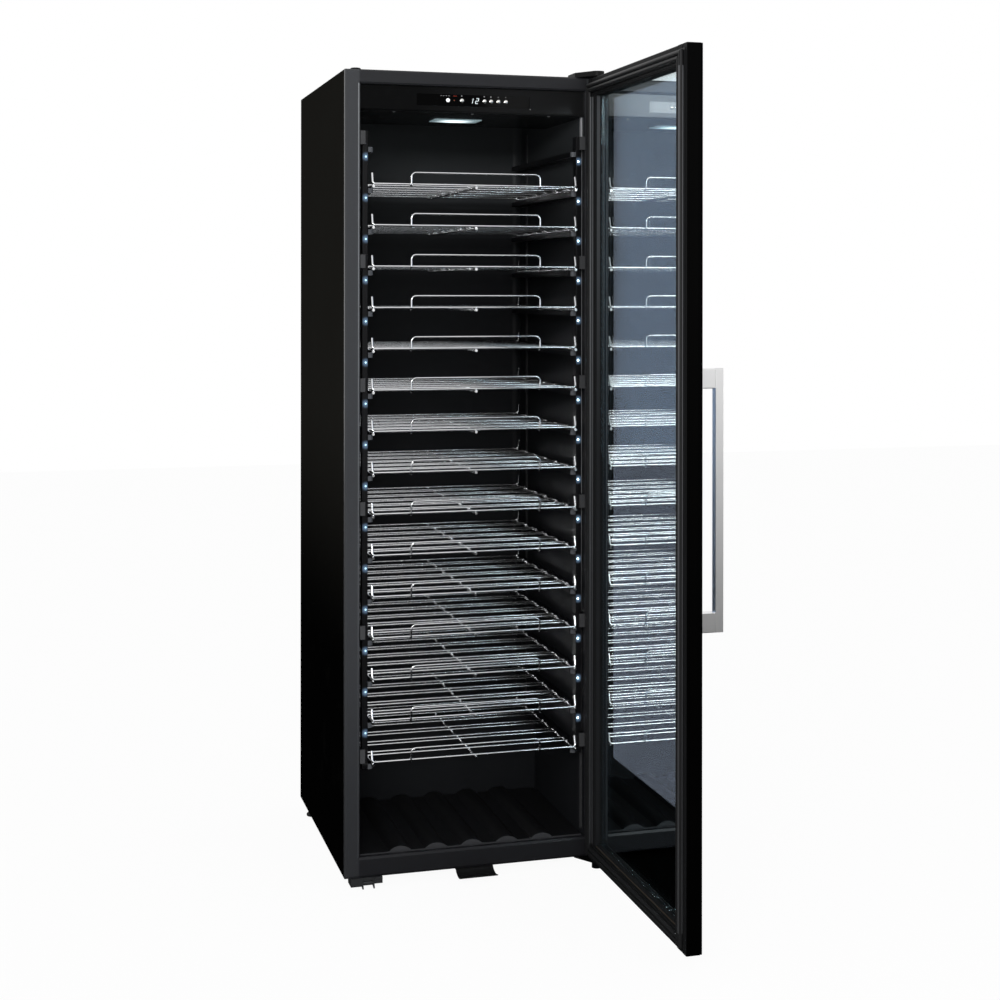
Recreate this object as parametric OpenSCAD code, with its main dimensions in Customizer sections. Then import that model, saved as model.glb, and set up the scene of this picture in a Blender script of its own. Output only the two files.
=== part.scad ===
// Full-height wine cooler: right-hung glass door, fifteen sliding wire shelves, bottle tray.
// X runs to the right, Y to the back and Z up. The origin lies on the floor, below the
// middle of the cabinet's front face. The door is drawn open at a right angle.

/* [Cabinet] */
// Width of the cabinet
body_w = 595; // [560:1:640]
// Height of the cabinet without its feet
body_h = 1795; // [1700:1:1880]
// Depth of the cabinet behind its front face
body_d = 625; // [600:1:680]
// Height of the cabinet's underside above the floor
foot_h = 25; // [23:1:35]
// Thickness of the outer steel sheet
sheet_t = 1; // [0.6:0.1:1.5]
// Width of the fold along the rear edges of the side sheets
fold_w = 14; // [8:1:20]
// Depth of the pressed ribs in the rear panel
rib_h = 2.5; // [1:0.5:4]
// Number of pressed ribs in the rear panel
rib_count = 4; // [2:1:6]

/* [Front frame] */
// Width of the upright bars
stile_w = 34; // [30:1:42]
// Height of the top bar
top_bar_h = 31; // [26:1:40]
// Height of the bottom bar
bottom_bar_h = 45; // [38:1:60]
// Depth of the bars
frame_d = 14; // [12:0.5:18]
// Width of the bevel along both edges of a bar
frame_bevel = 4; // [2:0.5:6]
// Depth of the bevel
bevel_depth = 3; // [1:0.5:5]

/* [Liner and foam] */
// Offset of the liner's inner faces behind the edges of the frame
liner_lip = 1.5; // [1:0.1:3]
// Drop of the liner's floor below the frame's lower edge
liner_drop = 4; // [2:0.5:6]
// Thickness of the moulded liner
liner_t = 2; // [1.5:0.1:3]
// Radius of the liner's upright rear corners
liner_r = 21; // [10:1:40]
// Thickness of the rear wall, liner included
back_wall = 83; // [70:1:95]
// Depth of the raised step over the compressor
step_d = 140; // [125:1:150]
// Height of the raised step over the compressor
step_h = 189; // [180:1:200]
// Thickness of the step's wall, liner included
step_wall = 24; // [15:1:30]

/* [Control panel] */
// Height of the housing below the liner's ceiling
housing_h = 59.5; // [52:0.5:75]
// Depth of the housing
housing_d = 300; // [250:5:360]
// Wall of the housing
housing_t = 2.5; // [2:0.1:3.5]
// Radius of the housing's lower front edge
housing_r = 5; // [3:0.5:8]
// Width of the glossy window
window_w = 264; // [220:1:320]
// Height of the glossy window
window_h = 26; // [20:0.5:34]
// Thickness of the glossy window
window_t = 3; // [2:0.1:4]
// Height of the window's middle above the housing's underside
window_rise = 28; // [20:0.5:30]
// Radius of a push button
button_r = 4.2; // [3:0.1:5.5]
// Height by which a button stands out of the window
button_proud = 1.6; // [1.2:0.1:2.5]
// Travel of a button
button_travel = 1; // [0.5:0.1:1.4]
// Gap around a button
button_gap = 0.35; // [0.3:0.05:0.6]
// Width of the lamp's lens
lamp_w = 113; // [90:1:180]
// Depth of the lamp's lens
lamp_d = 68; // [50:1:100]
// Distance from the housing's front face to the lens
lamp_back = 134; // [110:1:150]

/* [Shelf supports] */
// Thickness of the upright rail strips on the walls
strip_t = 2; // [1:0.1:3]
// Width of the rail strips
strip_w = 12; // [5:0.5:18]
// Distance from the cabinet's front face to the front rail strips
strip_front = 30; // [20:1:50]
// Width of a ladder post across the wall
post_w = 12.4; // [10:0.1:16]
// Depth of a ladder post
post_d = 24; // [18:0.5:30]
// Distance from the cabinet's front face to the posts
post_back = 10; // [8:0.5:14]
// Distance by which the posts stand off the rail strips
post_out = 6.4; // [4:0.1:8]
// Height of a grey spacer block between two posts
block_h = 30; // [20:1:36]
// Amount by which a block stands out around a post
block_out = 0.6; // [0.2:0.1:1.5]
// Width of a block's nose beside the post
nose_w = 11.8; // [8:0.1:14]
// Distance from the cabinet's front face to a block's nose
nose_back = 1.5; // [1:0.1:6]
// Width of a ledge
ledge_w = 31.4; // [26:0.1:36]
// Height of a ledge
ledge_h = 11; // [7:0.5:12]
// Gap between a ledge's rear end and the liner's back
ledge_rear = 42; // [20:1:60]
// Radius of the ledge's inner front corner
ledge_r = 8; // [3:0.5:12]
// Radius of a light's lens
led_r = 2.3; // [1.5:0.1:3]
// Height of a light above its shelf
led_rise = 61; // [50:1:66]

/* [Shelves] */
// Distance from the frame's upper edge down to the first shelf
first_shelf = 223; // [200:1:240]
// Height of the last shelf above the step
last_shelf = 27; // [24:1:40]
// Distance by which a shelf's front wire stands proud of the cabinet's front face
shelf_proud = 8; // [0:0.5:10]
// Gap between a shelf's wires and the posts on each side
shelf_gap = 7; // [5:0.5:10]
// Diameter of the cross wires
wire_d = 5; // [3.5:0.1:5.5]
// Diameter of the runner wires
runner_d = 6; // [4:0.1:7]
// Distance from one bottle place to the next
bottle_pitch = 82; // [72:1:86]
// Distance between the two wires that carry a bottle
cradle_w = 57; // [45:1:64]
// Height of the turned-up ends of the front and rear wires
end_h = 25; // [18:1:34]
// Lean of the turned-up ends towards the shelf's middle, in degrees
end_lean = 18; // [0:1:30]
// Width of the bottle guard
guard_w = 300; // [200:1:360]
// Height of the bottle guard above the front wire
guard_h = 26; // [18:1:32]
// Diameter of the guard's wire
guard_d = 4; // [3:0.1:5]
// Bending radius of the guard's corners
guard_r = 11; // [7:0.5:14]

/* [Bottle tray] */
// Gap between the tray and the liner's walls
tray_gap = 3; // [2:0.5:6]
// Thickness of the tray
tray_t = 3; // [2:0.5:4]
// Distance from the cabinet's front face to the tray
tray_front = 25; // [18:1:40]
// Width of a ridge between two bottles
ridge_w = 52; // [40:1:60]
// Height of a ridge
ridge_h = 10.5; // [8:0.5:16]
// Number of ridges
ridge_count = 5; // [3:1:6]

/* [Door] */
// Gap between the cabinet's front face and the closed door
door_gap = 12; // [11:0.5:16]
// Gap between the door's top and the cabinet's top
door_top_gap = 6; // [5:0.5:8]
// Gap between the door's bottom and the cabinet's bottom
door_bottom_gap = 4; // [3.5:0.5:8]
// Depth of the door's frame behind the outer glass
door_frame_d = 29; // [27:0.5:34]
// Width of the door's upright bars
door_stile_w = 50; // [48:1:60]
// Height of the door's cross bars
door_rail_h = 42; // [40:1:55]
// Thickness of each glass
glass_t = 4; // [3:0.5:5]
// Depth of the inner glass below the frame's inner face
glass_recess = 14; // [10:0.5:16]
// Width of the spacer between the glasses
spacer_w = 8; // [6:0.5:12]
// Distance from the door's edge to the gasket
gasket_inset = 9; // [8:0.5:10]
// Width of the gasket
gasket_w = 28; // [26:0.5:30]
// Gap between the gasket and the cabinet when the door is closed
gasket_gap = 0.6; // [0.5:0.1:1]

/* [Hinges] */
// Distance from the cabinet's side to the hinge pins
pin_inset = 15.85; // [15:0.05:18]
// Distance from the door's inner face to the hinge pins
pin_depth = 16.65; // [14:0.05:17]
// Radius of the hinge pins
pin_r = 4; // [3:0.1:5]
// Radial clearance of the pins in their bushes
pin_clearance = 0.05; // [0.03:0.01:0.09]
// Wall of a hinge bush
bush_wall = 3; // [2:0.1:4]
// Length of a hinge bush
bush_l = 20; // [12:1:30]
// Thickness of the hinge plates
hinge_t = 4; // [3:0.5:5]
// Width of the hinge plates on the cabinet
hinge_w = 58; // [52:1:80]
// Length of the hinge plates behind the cabinet's front face
hinge_l = 58; // [45:1:75]
// Height of the cover over the top hinge
cover_h = 11; // [9:0.5:15]
// Wall of the cover
cover_t = 1.5; // [1:0.1:2]
// Radius of the boss under the bottom hinge
boss_r = 11; // [8:0.5:13]
// Height of the boss under the bottom hinge
boss_h = 13; // [8:0.5:15]

/* [Handle] */
// Length of the handle
handle_l = 524; // [300:1:800]
// Height of the handle's middle above the floor
handle_z = 913; // [800:1:1100]
// Width of the handle
handle_w = 18; // [12:0.5:24]
// Thickness of the handle's bar
handle_t = 17; // [10:0.5:22]
// Clear gap behind the handle's bar
handle_gap = 42; // [32:1:55]
// Height of a handle post
handle_post_h = 40; // [25:1:60]
// Distance from the door's free edge to the handle's middle
handle_inset = 42; // [20:0.5:42]
// Radius of the handle's edges
handle_r = 1.5; // [0.5:0.1:3]
// Radius of the bolts that hold the handle
bolt_r = 3; // [2:0.1:4]

/* [Feet and keeper] */
// Radius of a levelling foot
foot_r = 16; // [12:0.5:20]
// Distance from the cabinet's side to a front foot's middle
foot_in = 52; // [40:1:80]
// Distance from the cabinet's front face to the front feet
front_foot_y = 110; // [95:1:150]
// Distance from the cabinet's rear face to the rear feet
rear_foot = 82; // [60:1:120]
// Width of the foot block under the left corner
foot_block_w = 71; // [60:1:85]
// Width of the keeper under the front edge
keeper_w = 87; // [60:1:120]
// Reach of the keeper in front of the cabinet
keeper_reach = 42; // [30:0.5:50]
// Thickness of the keeper
keeper_t = 2.5; // [1.5:0.1:4]

/* [Cooling unit] */
// Radius of the compressor's shell
compressor_r = 68; // [55:1:74]
// Height of the compressor's shell
compressor_h = 138; // [110:1:145]
// Height of the rubber mounts
mount_h = 12; // [8:0.5:16]
// Distance from the cabinet's middle to the compressor
compressor_x = 95; // [60:1:120]
// Width of the condenser
condenser_w = 460; // [380:1:500]
// Number of the condenser's tube rows
row_count = 21; // [9:2:23]
// Distance between two rows
row_pitch = 60; // [45:1:62]
// Diameter of the condenser's tube
tube_d = 4.8; // [4:0.1:8]
// Number of wires on each face of the condenser
grid_count = 12; // [6:1:16]
// Diameter of the condenser's wires
grid_d = 1.6; // [1:0.1:2.5]
// Gap between the rear panel and the condenser's tube
condenser_gap = 12; // [8:0.5:20]
// Width of the evaporator plate
evaporator_w = 360; // [250:1:440]
// Height of the evaporator plate
evaporator_h = 900; // [500:1:1000]

/* [Hidden] */
$fn = 48;

// hairline between pieces that lie against each other
seam = 0.1;
// hairline between welded wires
weld = 0.05;
shelf_count = 15;

// cabinet and opening
half_w = body_w / 2;
top_z = foot_h + body_h;
open_x = half_w - stile_w;
open_z0 = foot_h + bottom_bar_h;
open_z1 = top_z - top_bar_h;

// liner
liner_x = open_x + liner_lip;
liner_y = body_d - back_wall;
liner_z0 = open_z0 - liner_drop;
liner_z1 = open_z1 + liner_lip;
step_y = liner_y - step_d;
step_z = liner_z0 + step_h;
niche_y = step_y + step_wall;
niche_z = step_z - step_wall;
pan_t = 2;
pan_lip = 12;
wall_x = half_w - sheet_t - seam;
panel_y = body_d - 2 * sheet_t;

// control panel
housing_y = frame_d + 2 * seam;
housing_z = liner_z1 - housing_h;
housing_x = liner_x - 3 * seam;
window_z = housing_z + window_rise;
window_y = housing_y - 3 * seam;
board_y = window_y + window_t + 5;
board_t = 1.6;
button_x = [-60, -27.5, 25.5, 41, 58.5, 76];
button_lip = 1;
led_x = -45.5;
lamp_y = housing_y + lamp_back;
housing_screw_x = [-182, 0, 182];
housing_screw_y = housing_y + 12;

// shelf levels, counted from the empty level above the first shelf
wire_r = wire_d / 2;
runner_r = runner_d / 2;
shelf_z1 = open_z1 - first_shelf;
shelf_pitch = (shelf_z1 - step_z - last_shelf) / (shelf_count - 1);
function shelf_z(k) = shelf_z1 - (k - 1) * shelf_pitch;
ride_gap = 0.35;
function ledge_top(k) = shelf_z(k) - wire_r - weld - runner_d - ride_gap;

// ladders
ladder_x = liner_x - strip_t - seam;
post_x = ladder_x - post_out - post_w;
led_in = 4.9;
led_proud = 1.1;
block_span = 3;
block_rise = 118;
ledge_y = post_back + 2;
ledge_l = liner_y - ledge_rear - ledge_y;
function block_top(j) = shelf_z1 + block_rise - j * block_span * shelf_pitch;
block_count = shelf_count / block_span + 1;
rear_strip = 32;

// shelves
shelf_x = post_x - shelf_gap;
bend_r = wire_d + 1;
runner_over = 4;
cradle_count = floor((ledge_y + ledge_l + shelf_proud - runner_over - cradle_w) / bottle_pitch) + 1;
cross_wires = [for (i = [0 : cradle_count - 1]) each [i * bottle_pitch, i * bottle_pitch + cradle_w]];
shelf_l = (cradle_count - 1) * bottle_pitch + cradle_w;

// door, drawn closed and then turned about the hinge
door_z0 = foot_h + door_bottom_gap;
door_z1 = top_z - door_top_gap;
door_in = -door_gap;
door_mid = door_in - door_frame_d;
door_out = door_mid - glass_t;
hinge_x = half_w - pin_inset;
hinge_y = door_in - pin_depth;
open_angle = 90;
bush_r = pin_r + pin_clearance + bush_wall;
bush_lip_t = 1.5;
gasket_h = door_gap - gasket_gap;
strip_h = 1.6;
lobe_r = 5.5;
lobe_wall = 1.5;
lobe_in = 3.2;
lobes = [gasket_inset + lobe_r + lobe_in, gasket_inset + gasket_w - lobe_r - lobe_in];
glass_edge = 0.5;
pane_x = half_w - door_stile_w - glass_edge;
pane_z0 = door_z0 + door_rail_h + glass_edge;
pane_z1 = door_z1 - door_rail_h - glass_edge;
pane_y = door_in - glass_recess;

// handle
handle_x = -half_w + handle_inset;
handle_z0 = handle_z - handle_l / 2;
handle_z1 = handle_z + handle_l / 2;
joint_line = 0.3;
bolt_off = 11;

// cooling unit
compressor_y = niche_y + compressor_r + 14;
shell_z = foot_h + pan_t + mount_h;
foot_plate_t = 3;
mount_off_x = 78;
mount_off_y = 46;
tube_r = tube_d / 2;
tube_y = body_d - sheet_t + condenser_gap + tube_r;
row_x = condenser_w / 2 - row_pitch / 2;
outer_wire_x = row_x - 10;
bracket_w = 14;
bracket_x = outer_wire_x + 2.3;
row_z0 = niche_z + 90;
evaporator_z = 500;
evaporator_t = 1.5;
channel_h = 3;

// ---- small helpers

// draws the children on the right and mirrored on the left
module both_sides() {
    children();
    mirror([1, 0, 0]) children();
}

// extrudes a Y-Z outline along X
module along_x(x0, x1) {
    translate([x0, 0, 0]) rotate([90, 0, 90]) linear_extrude(x1 - x0) children();
}

// extrudes an X-Z outline along Y
module along_y(y0, y1) {
    translate([0, y1, 0]) rotate([90, 0, 0]) linear_extrude(y1 - y0) children();
}

// turns an upright shape so that its top points to the back
module facing_back(x, y, z) {
    translate([x, y, z]) rotate([-90, 0, 0]) children();
}

// rectangle with round corners
module round_rect(w, h, r) {
    square([w, h - 2 * r], center = true);
    square([w - 2 * r, h], center = true);
    for (x = [-1, 1], y = [-1, 1]) {
        translate([x * (w / 2 - r), y * (h / 2 - r)]) circle(r);
    }
}

// straight rod between two points
module rod(a, b, r) {
    d = b - a;
    translate(a) rotate([0, acos(d.z / norm(d)), atan2(d.y, d.x)]) cylinder(h = norm(d), r = r);
}

// screw with its seat at the origin, head upwards and shank downwards
module screw(head_r, head_h, shank_r, shank_l) {
    rotate_extrude() polygon([
        [0, -shank_l], [shank_r, -shank_l], [shank_r, 0], [head_r, 0],
        [head_r, head_h * 0.4], [head_r * 0.7, head_h], [0, head_h]
    ]);
}

// ---- cabinet shell

// outline of the top hinge's screws on the cabinet
top_screws = [for (x = [0.24, 0.82], y = [0.36, 0.8]) [half_w - x * hinge_w, y * hinge_l]];
bottom_screws = top_screws;
rear_screw_end = 60;
rear_screw_z = [for (i = [0 : 4]) niche_z + rear_screw_end + i * (top_z - niche_z - 2 * rear_screw_end) / 4];
cap_r = 12;
cap_h = 5.4;
cap_pos = [-half_w + 28, frame_d + cap_r + 0.5];
screw_r = 2.5;
small_screw_r = 1.5;

module side_sheet() {
    difference() {
        translate([0, 0, foot_h]) linear_extrude(body_h - sheet_t - seam) {
            translate([half_w - sheet_t, frame_d + seam]) square([sheet_t, body_d - frame_d - seam]);
            translate([half_w - fold_w, body_d - sheet_t]) square([fold_w, sheet_t]);
        }
        for (z = rear_screw_z) {
            facing_back(half_w - fold_w / 2, panel_y, z) cylinder(h = 3 * sheet_t, r = small_screw_r + seam);
        }
    }
}

module top_sheet() {
    difference() {
        union() {
            translate([-half_w, frame_d + seam, top_z - sheet_t])
                cube([body_w, body_d - frame_d - seam, sheet_t]);
            translate([-half_w + fold_w + seam, body_d - sheet_t, top_z - fold_w])
                cube([body_w - 2 * (fold_w + seam), sheet_t, fold_w]);
        }
        for (p = top_screws) {
            translate([p.x, p.y, top_z - 2 * sheet_t]) cylinder(h = 3 * sheet_t, r = screw_r + seam);
        }
        translate([cap_pos.x, cap_pos.y, top_z - 2 * sheet_t]) cylinder(h = 3 * sheet_t, r = 5 + seam);
    }
}

module outer_panels() color("#1b1a18") {
    both_sides() side_sheet();
    top_sheet();
}

// outline of the rear panel from above, with ribs pressed outwards
rib_w = 44;
function rib_x(i) = bracket_x * (2 * i / (rib_count - 1) - 1);
function rib(i, y) = let (x = rib_x(i), w = rib_w / 2) [
    [x - w, y], [x - w + rib_h, y + rib_h], [x + w - rib_h, y + rib_h], [x + w, y]
];
function rib_line(y) = [for (i = [0 : rib_count - 1]) each rib(i, y)];
function backwards(list) = [for (i = [len(list) - 1 : -1 : 0]) list[i]];

module rear_panel() color("#151515") {
    rib_top = top_z - fold_w - seam;
    difference() {
        union() {
            translate([0, 0, niche_z]) linear_extrude(rib_top - niche_z) polygon(concat(
                [[-wall_x, panel_y]], rib_line(panel_y), [[wall_x, panel_y], [wall_x, panel_y + sheet_t]],
                backwards(rib_line(panel_y + sheet_t)), [[-wall_x, panel_y + sheet_t]]
            ));
            translate([-wall_x, panel_y, rib_top]) cube([2 * wall_x, sheet_t, top_z - sheet_t - seam - rib_top]);
            translate([0, 0, rib_top - sheet_t]) linear_extrude(sheet_t) for (i = [0 : rib_count - 1]) {
                polygon(concat([[rib_x(i) - rib_w / 2, panel_y]], rib(i, panel_y + sheet_t), [[rib_x(i) + rib_w / 2, panel_y]]));
            }
        }
        for (s = [-1, 1], z = rear_screw_z) {
            facing_back(s * (half_w - fold_w / 2), panel_y - 1, z) cylinder(h = 4, r = small_screw_r + seam);
        }
    }
}

module base_pan() color("#202020") {
    difference() {
        along_x(-wall_x, wall_x) {
            translate([frame_d + seam, foot_h]) square([body_d - sheet_t - frame_d - 2 * seam, pan_t]);
            translate([frame_d + seam, foot_h]) square([sheet_t, pan_lip]);
            translate([body_d - 2 * sheet_t - seam, foot_h]) square([sheet_t, pan_lip]);
        }
        for (p = bottom_screws) {
            translate([p.x, p.y, foot_h - 1]) cylinder(h = pan_t + 2, r = screw_r + seam);
        }
    }
}

// outline of the liner from above, from a given front plane and grown by a given wall
module liner_plan(front, wall) {
    x = liner_x + wall;
    y = liner_y + wall;
    r = liner_r + wall;
    translate([-x, front]) square([2 * x, y - r - front]);
    translate([-x + r, front]) square([2 * (x - r), y - front]);
    for (s = [-1, 1]) {
        translate([s * (x - r), y - r]) circle(r);
    }
}

// space inside the liner with its step at the back, grown by a given wall
module liner_space(front, wall) {
    translate([0, 0, step_z - wall]) linear_extrude(liner_z1 - step_z + 2 * wall) liner_plan(front, wall);
    translate([-liner_x - wall, front, liner_z0 - wall])
        cube([2 * (liner_x + wall), step_y + wall - front, step_z - liner_z0 + wall]);
}

module inner_liner() color("#0c0d0f") {
    difference() {
        liner_space(frame_d + seam, liner_t);
        liner_space(frame_d - 1, 0);
    }
}

// foam slabs between the liner and the sheets
module insulation_panels() color("#e8dcae") {
    foam_x = liner_x + liner_t + seam;
    foam_z1 = top_z - sheet_t - 2 * seam;
    ceiling = liner_z1 + liner_t + seam;
    front = frame_d + sheet_t + 2 * seam;
    back = panel_y - seam;
    pocket = liner_y + liner_t + seam;
    back_front = pocket + evaporator_t + channel_h + seam;
    plate_x = evaporator_w / 2;
    plate_z1 = evaporator_z + evaporator_h;
    difference() {
        union() {
            both_sides() translate([foam_x, front, niche_z]) cube([wall_x - seam - foam_x, back - front, foam_z1 - niche_z]);
            translate([-foam_x + seam, front, ceiling]) cube([2 * (foam_x - seam), back - front, foam_z1 - ceiling]);
        }
        translate([cap_pos.x, cap_pos.y, top_z - 6]) cylinder(h = 8, r = 6);
    }
    both_sides() translate([foam_x, front, foot_h + pan_t + seam])
        cube([wall_x - seam - foam_x, niche_y - front, niche_z - foot_h - pan_t - 2 * seam]);
    both_sides() translate([plate_x + seam, pocket, step_z])
        cube([foam_x - plate_x - 2 * seam, back_front - pocket - seam, ceiling - seam - step_z]);
    for (z = [[step_z, evaporator_z - seam], [plate_z1 + seam, ceiling - seam]]) {
        translate([-plate_x, pocket, z[0]]) cube([2 * plate_x, back_front - pocket - seam, z[1] - z[0]]);
    }
    translate([-foam_x + seam, back_front, step_z])
        cube([2 * (foam_x - seam), back - back_front, ceiling - seam - step_z]);
    translate([-foam_x + seam, step_y + liner_t + seam, niche_z])
        cube([2 * (foam_x - seam), back - step_y - liner_t - seam, step_z - liner_t - seam - niche_z]);
    translate([-foam_x + seam, step_y + liner_t + seam, foot_h + pan_t + seam])
        cube([2 * (foam_x - seam), niche_y - step_y - liner_t - seam, niche_z - foot_h - pan_t - 2 * seam]);
    translate([-foam_x + seam, front, foot_h + pan_t + seam])
        cube([2 * (foam_x - seam), step_y + liner_t - front, liner_z0 - liner_t - foot_h - pan_t - 2 * seam]);
}

// outline of a frame bar: first the way in from the outer edge, then the depth
function bar_outline(w) = let (b = frame_bevel * w / stile_w) [
    [0, bevel_depth], [b, 0], [w - b, 0], [w, bevel_depth], [w, frame_d], [0, frame_d]
];

module frame_stile() {
    intersection() {
        translate([0, 0, foot_h]) linear_extrude(body_h) translate([half_w, 0]) mirror([1, 0]) polygon(bar_outline(stile_w));
        along_y(-1, frame_d + 1) polygon([
            [half_w, foot_h + seam], [half_w, top_z - seam], [open_x, open_z1 - seam], [open_x, open_z0 + seam]
        ]);
    }
}

// cross bar with its outer edge at the given height, running inwards by dir
module frame_rail(edge, dir, h) {
    intersection() {
        along_x(-half_w, half_w) translate([0, edge]) scale_flip(dir) polygon([for (p = bar_outline(h)) [p.y, p.x]]);
        along_y(-1, frame_d + 1) polygon([
            [-half_w, edge], [half_w, edge], [open_x, edge + dir * h], [-open_x, edge + dir * h]
        ]);
    }
}

// mirrors an outline upside down when dir is negative
module scale_flip(dir) {
    if (dir < 0) {
        mirror([0, 1]) children();
    } else {
        children();
    }
}

module front_frame() color("#3c3d40") {
    both_sides() frame_stile();
    frame_rail(top_z, -1, top_bar_h);
    frame_rail(foot_h, 1, bottom_bar_h);
}

// ---- control panel

// outline of the housing seen from the side, grown inwards by a wall
module housing_side(wall) {
    r = housing_r - wall;
    y = housing_y + wall;
    z = housing_z + wall;
    translate([y + r, z]) square([housing_d - 2 * wall - r, housing_h - wall - seam]);
    translate([y, z + r]) square([housing_d - 2 * wall, housing_h - wall - r - seam]);
    translate([y + r, z + r]) circle(r);
}

module control_housing() color("#131313") {
    standoff_x = window_w / 2 + 6;
    difference() {
        along_x(-housing_x, housing_x) housing_side(0);
        translate([0, 0, 1]) along_x(-housing_x + housing_t, housing_x - housing_t)
            translate([0, -1]) housing_side(housing_t);
        along_y(housing_y - 1, housing_y + housing_t + 1) translate([0, window_z])
            square([window_w + 4 * seam, window_h + 4 * seam], center = true);
        translate([0, lamp_y + lamp_d / 2, housing_z - 1]) linear_extrude(housing_t + 2)
            round_rect(lamp_w + 6 * seam, lamp_d + 6 * seam, 4);
        for (x = housing_screw_x) {
            translate([x, housing_screw_y, housing_z - 1]) cylinder(h = housing_t + 2, r = small_screw_r + seam);
        }
    }
    for (s = [-1, 1]) {
        facing_back(s * standoff_x, housing_y + housing_t, window_z) cylinder(h = board_y - housing_y - housing_t, r = 2.5);
    }
}

module control_window() color("#060607") {
    difference() {
        along_y(window_y, window_y + window_t) translate([0, window_z]) round_rect(window_w, window_h, 1);
        for (x = button_x) {
            facing_back(x, window_y - 1, window_z) cylinder(h = window_t + 2, r = button_r + button_gap);
        }
        facing_back(led_x, window_y - 1, window_z) cylinder(h = window_t + 2, r = 1.6);
    }
}

module display_board() color("#12401f") {
    board_w = window_w + 20;
    switch_h = 5 - button_lip - button_travel - 1.4;
    along_y(board_y, board_y + board_t) translate([0, window_z]) square([board_w, window_h - 4], center = true);
    for (x = button_x) {
        along_y(board_y - switch_h, board_y) translate([x, window_z]) square([6, 6], center = true);
    }
    along_y(board_y - 4.6, board_y) translate([0, window_z]) square([26, 14], center = true);
    facing_back(led_x, window_y + 0.5, window_z) cylinder(h = board_y - window_y - 0.5, r = 1.5);
}

// push button: domed cap, retaining lip behind the window and a short stem
module push_button(i) color("#d9dadc") {
    cap_l = button_proud + window_t + button_gap;
    dome_h = 0.9;
    dome_r = (button_r * button_r + dome_h * dome_h) / (2 * dome_h);
    facing_back(button_x[i], window_y - button_proud, window_z) rotate_extrude() {
        intersection() {
            translate([0, dome_r]) circle(dome_r, $fn = 96);
            square([button_r, dome_h]);
        }
        translate([0, dome_h]) square([button_r, cap_l - dome_h]);
        translate([0, cap_l]) square([button_r + 1, button_lip]);
        translate([0, cap_l + button_lip]) square([1.5, 0.8]);
    }
}

module ceiling_lamp() color("#e9fbff") {
    translate([0, lamp_y + lamp_d / 2, housing_z - 1.2]) linear_extrude(housing_t + 1.2 + seam) round_rect(lamp_w, lamp_d, 3.7);
    translate([0, lamp_y + lamp_d / 2, housing_z + housing_t + seam]) linear_extrude(1.5) round_rect(lamp_w + 8, lamp_d + 8, 4);
}

module screws() color("#8d8f92") {
    for (x = housing_screw_x) {
        translate([x, housing_screw_y, housing_z]) rotate([180, 0, 0]) screw(3, 1.6, small_screw_r, housing_t);
    }
    for (p = top_screws) {
        translate([p.x, p.y, top_z + hinge_t]) screw(4.6, 2.6, screw_r, hinge_t + sheet_t);
    }
    for (p = bottom_screws) {
        translate([p.x, p.y, foot_h - hinge_t]) rotate([180, 0, 0]) screw(4.6, 2.6, screw_r, hinge_t + pan_t);
    }
    for (s = [-1, 1], z = rear_screw_z) {
        facing_back(s * (half_w - fold_w / 2), body_d, z) screw(3.4, 1.8, small_screw_r, 2 * sheet_t);
    }
}

// ---- shelf supports

module rail_strip(y) {
    z0 = open_z0 + strip_w + 3;
    translate([liner_x - strip_t, y, z0]) cube([strip_t, strip_w, housing_z - seam - z0]);
    translate([liner_x - strip_t, y + strip_w / 2, z0]) rotate([0, 90, 0]) cylinder(h = strip_t, r = strip_w / 2 + 1);
}

module side_rails() color("#8a8c90") {
    both_sides() rail_strip(strip_front);
    both_sides() translate([0, 0, step_z - open_z0]) intersection() {
        rail_strip(ledge_y + ledge_l - rear_strip);
        translate([0, 0, open_z0 - 10]) cube([half_w, body_d, housing_z - seam - step_z + 10]);
    }
}

module rail_blocks() color("#48494c") {
    both_sides() for (j = [0 : block_count - 1]) {
        translate([0, 0, block_top(j) - block_h]) linear_extrude(block_h) polygon([
            [post_x - block_out, post_back - block_out + 2], [post_x - block_out + 2, post_back - block_out],
            [ladder_x - nose_w, post_back - block_out], [ladder_x - nose_w, nose_back + 1],
            [ladder_x - nose_w + 1, nose_back], [ladder_x, nose_back], [ladder_x, post_back + post_d + block_out],
            [post_x - block_out, post_back + post_d + block_out]
        ]);
    }
}

// ladder post between two blocks, with three sockets for lights
module ladder_post(j) {
    z0 = block_top(j + 1) + seam;
    z1 = block_top(j) - block_h - seam;
    difference() {
        translate([0, 0, z0]) linear_extrude(z1 - z0) polygon([
            [post_x, post_back + 1.5], [post_x + 1.5, post_back], [post_x + post_w, post_back],
            [post_x + post_w, post_back + post_d], [post_x, post_back + post_d]
        ]);
        for (i = [1 : block_span]) {
            facing_back(post_x + led_in, post_back - 1, shelf_z(j * block_span + i) + led_rise)
                cylinder(h = 3, r = led_r + seam);
        }
    }
}

// short end of the ladder below the last block, round at its foot
module ladder_end() {
    z1 = block_top(block_count - 1) - block_h - seam;
    z0 = ledge_top(shelf_count) - ledge_h - 3;
    r = post_d / 2;
    along_x(post_x, post_x + post_w) intersection() {
        translate([post_back + r, z0 + r]) circle(r);
        translate([post_back, z0]) square([post_d, z1 - z0]);
    }
}

// ledge that carries a shelf's runner, notched round the post
module ledge(k) {
    r = ledge_r;
    x0 = ladder_x - ledge_w;
    y0 = ledge_y;
    translate([0, 0, ledge_top(k) - ledge_h]) linear_extrude(ledge_h) difference() {
        union() {
            translate([x0 + r, y0]) square([ledge_w - r, ledge_l]);
            translate([x0, y0 + r]) square([ledge_w, ledge_l - r]);
            translate([x0 + r, y0 + r]) circle(r);
        }
        translate([post_x - block_out - seam, 0]) square([half_w, post_back + post_d + block_out + seam]);
    }
}

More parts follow.
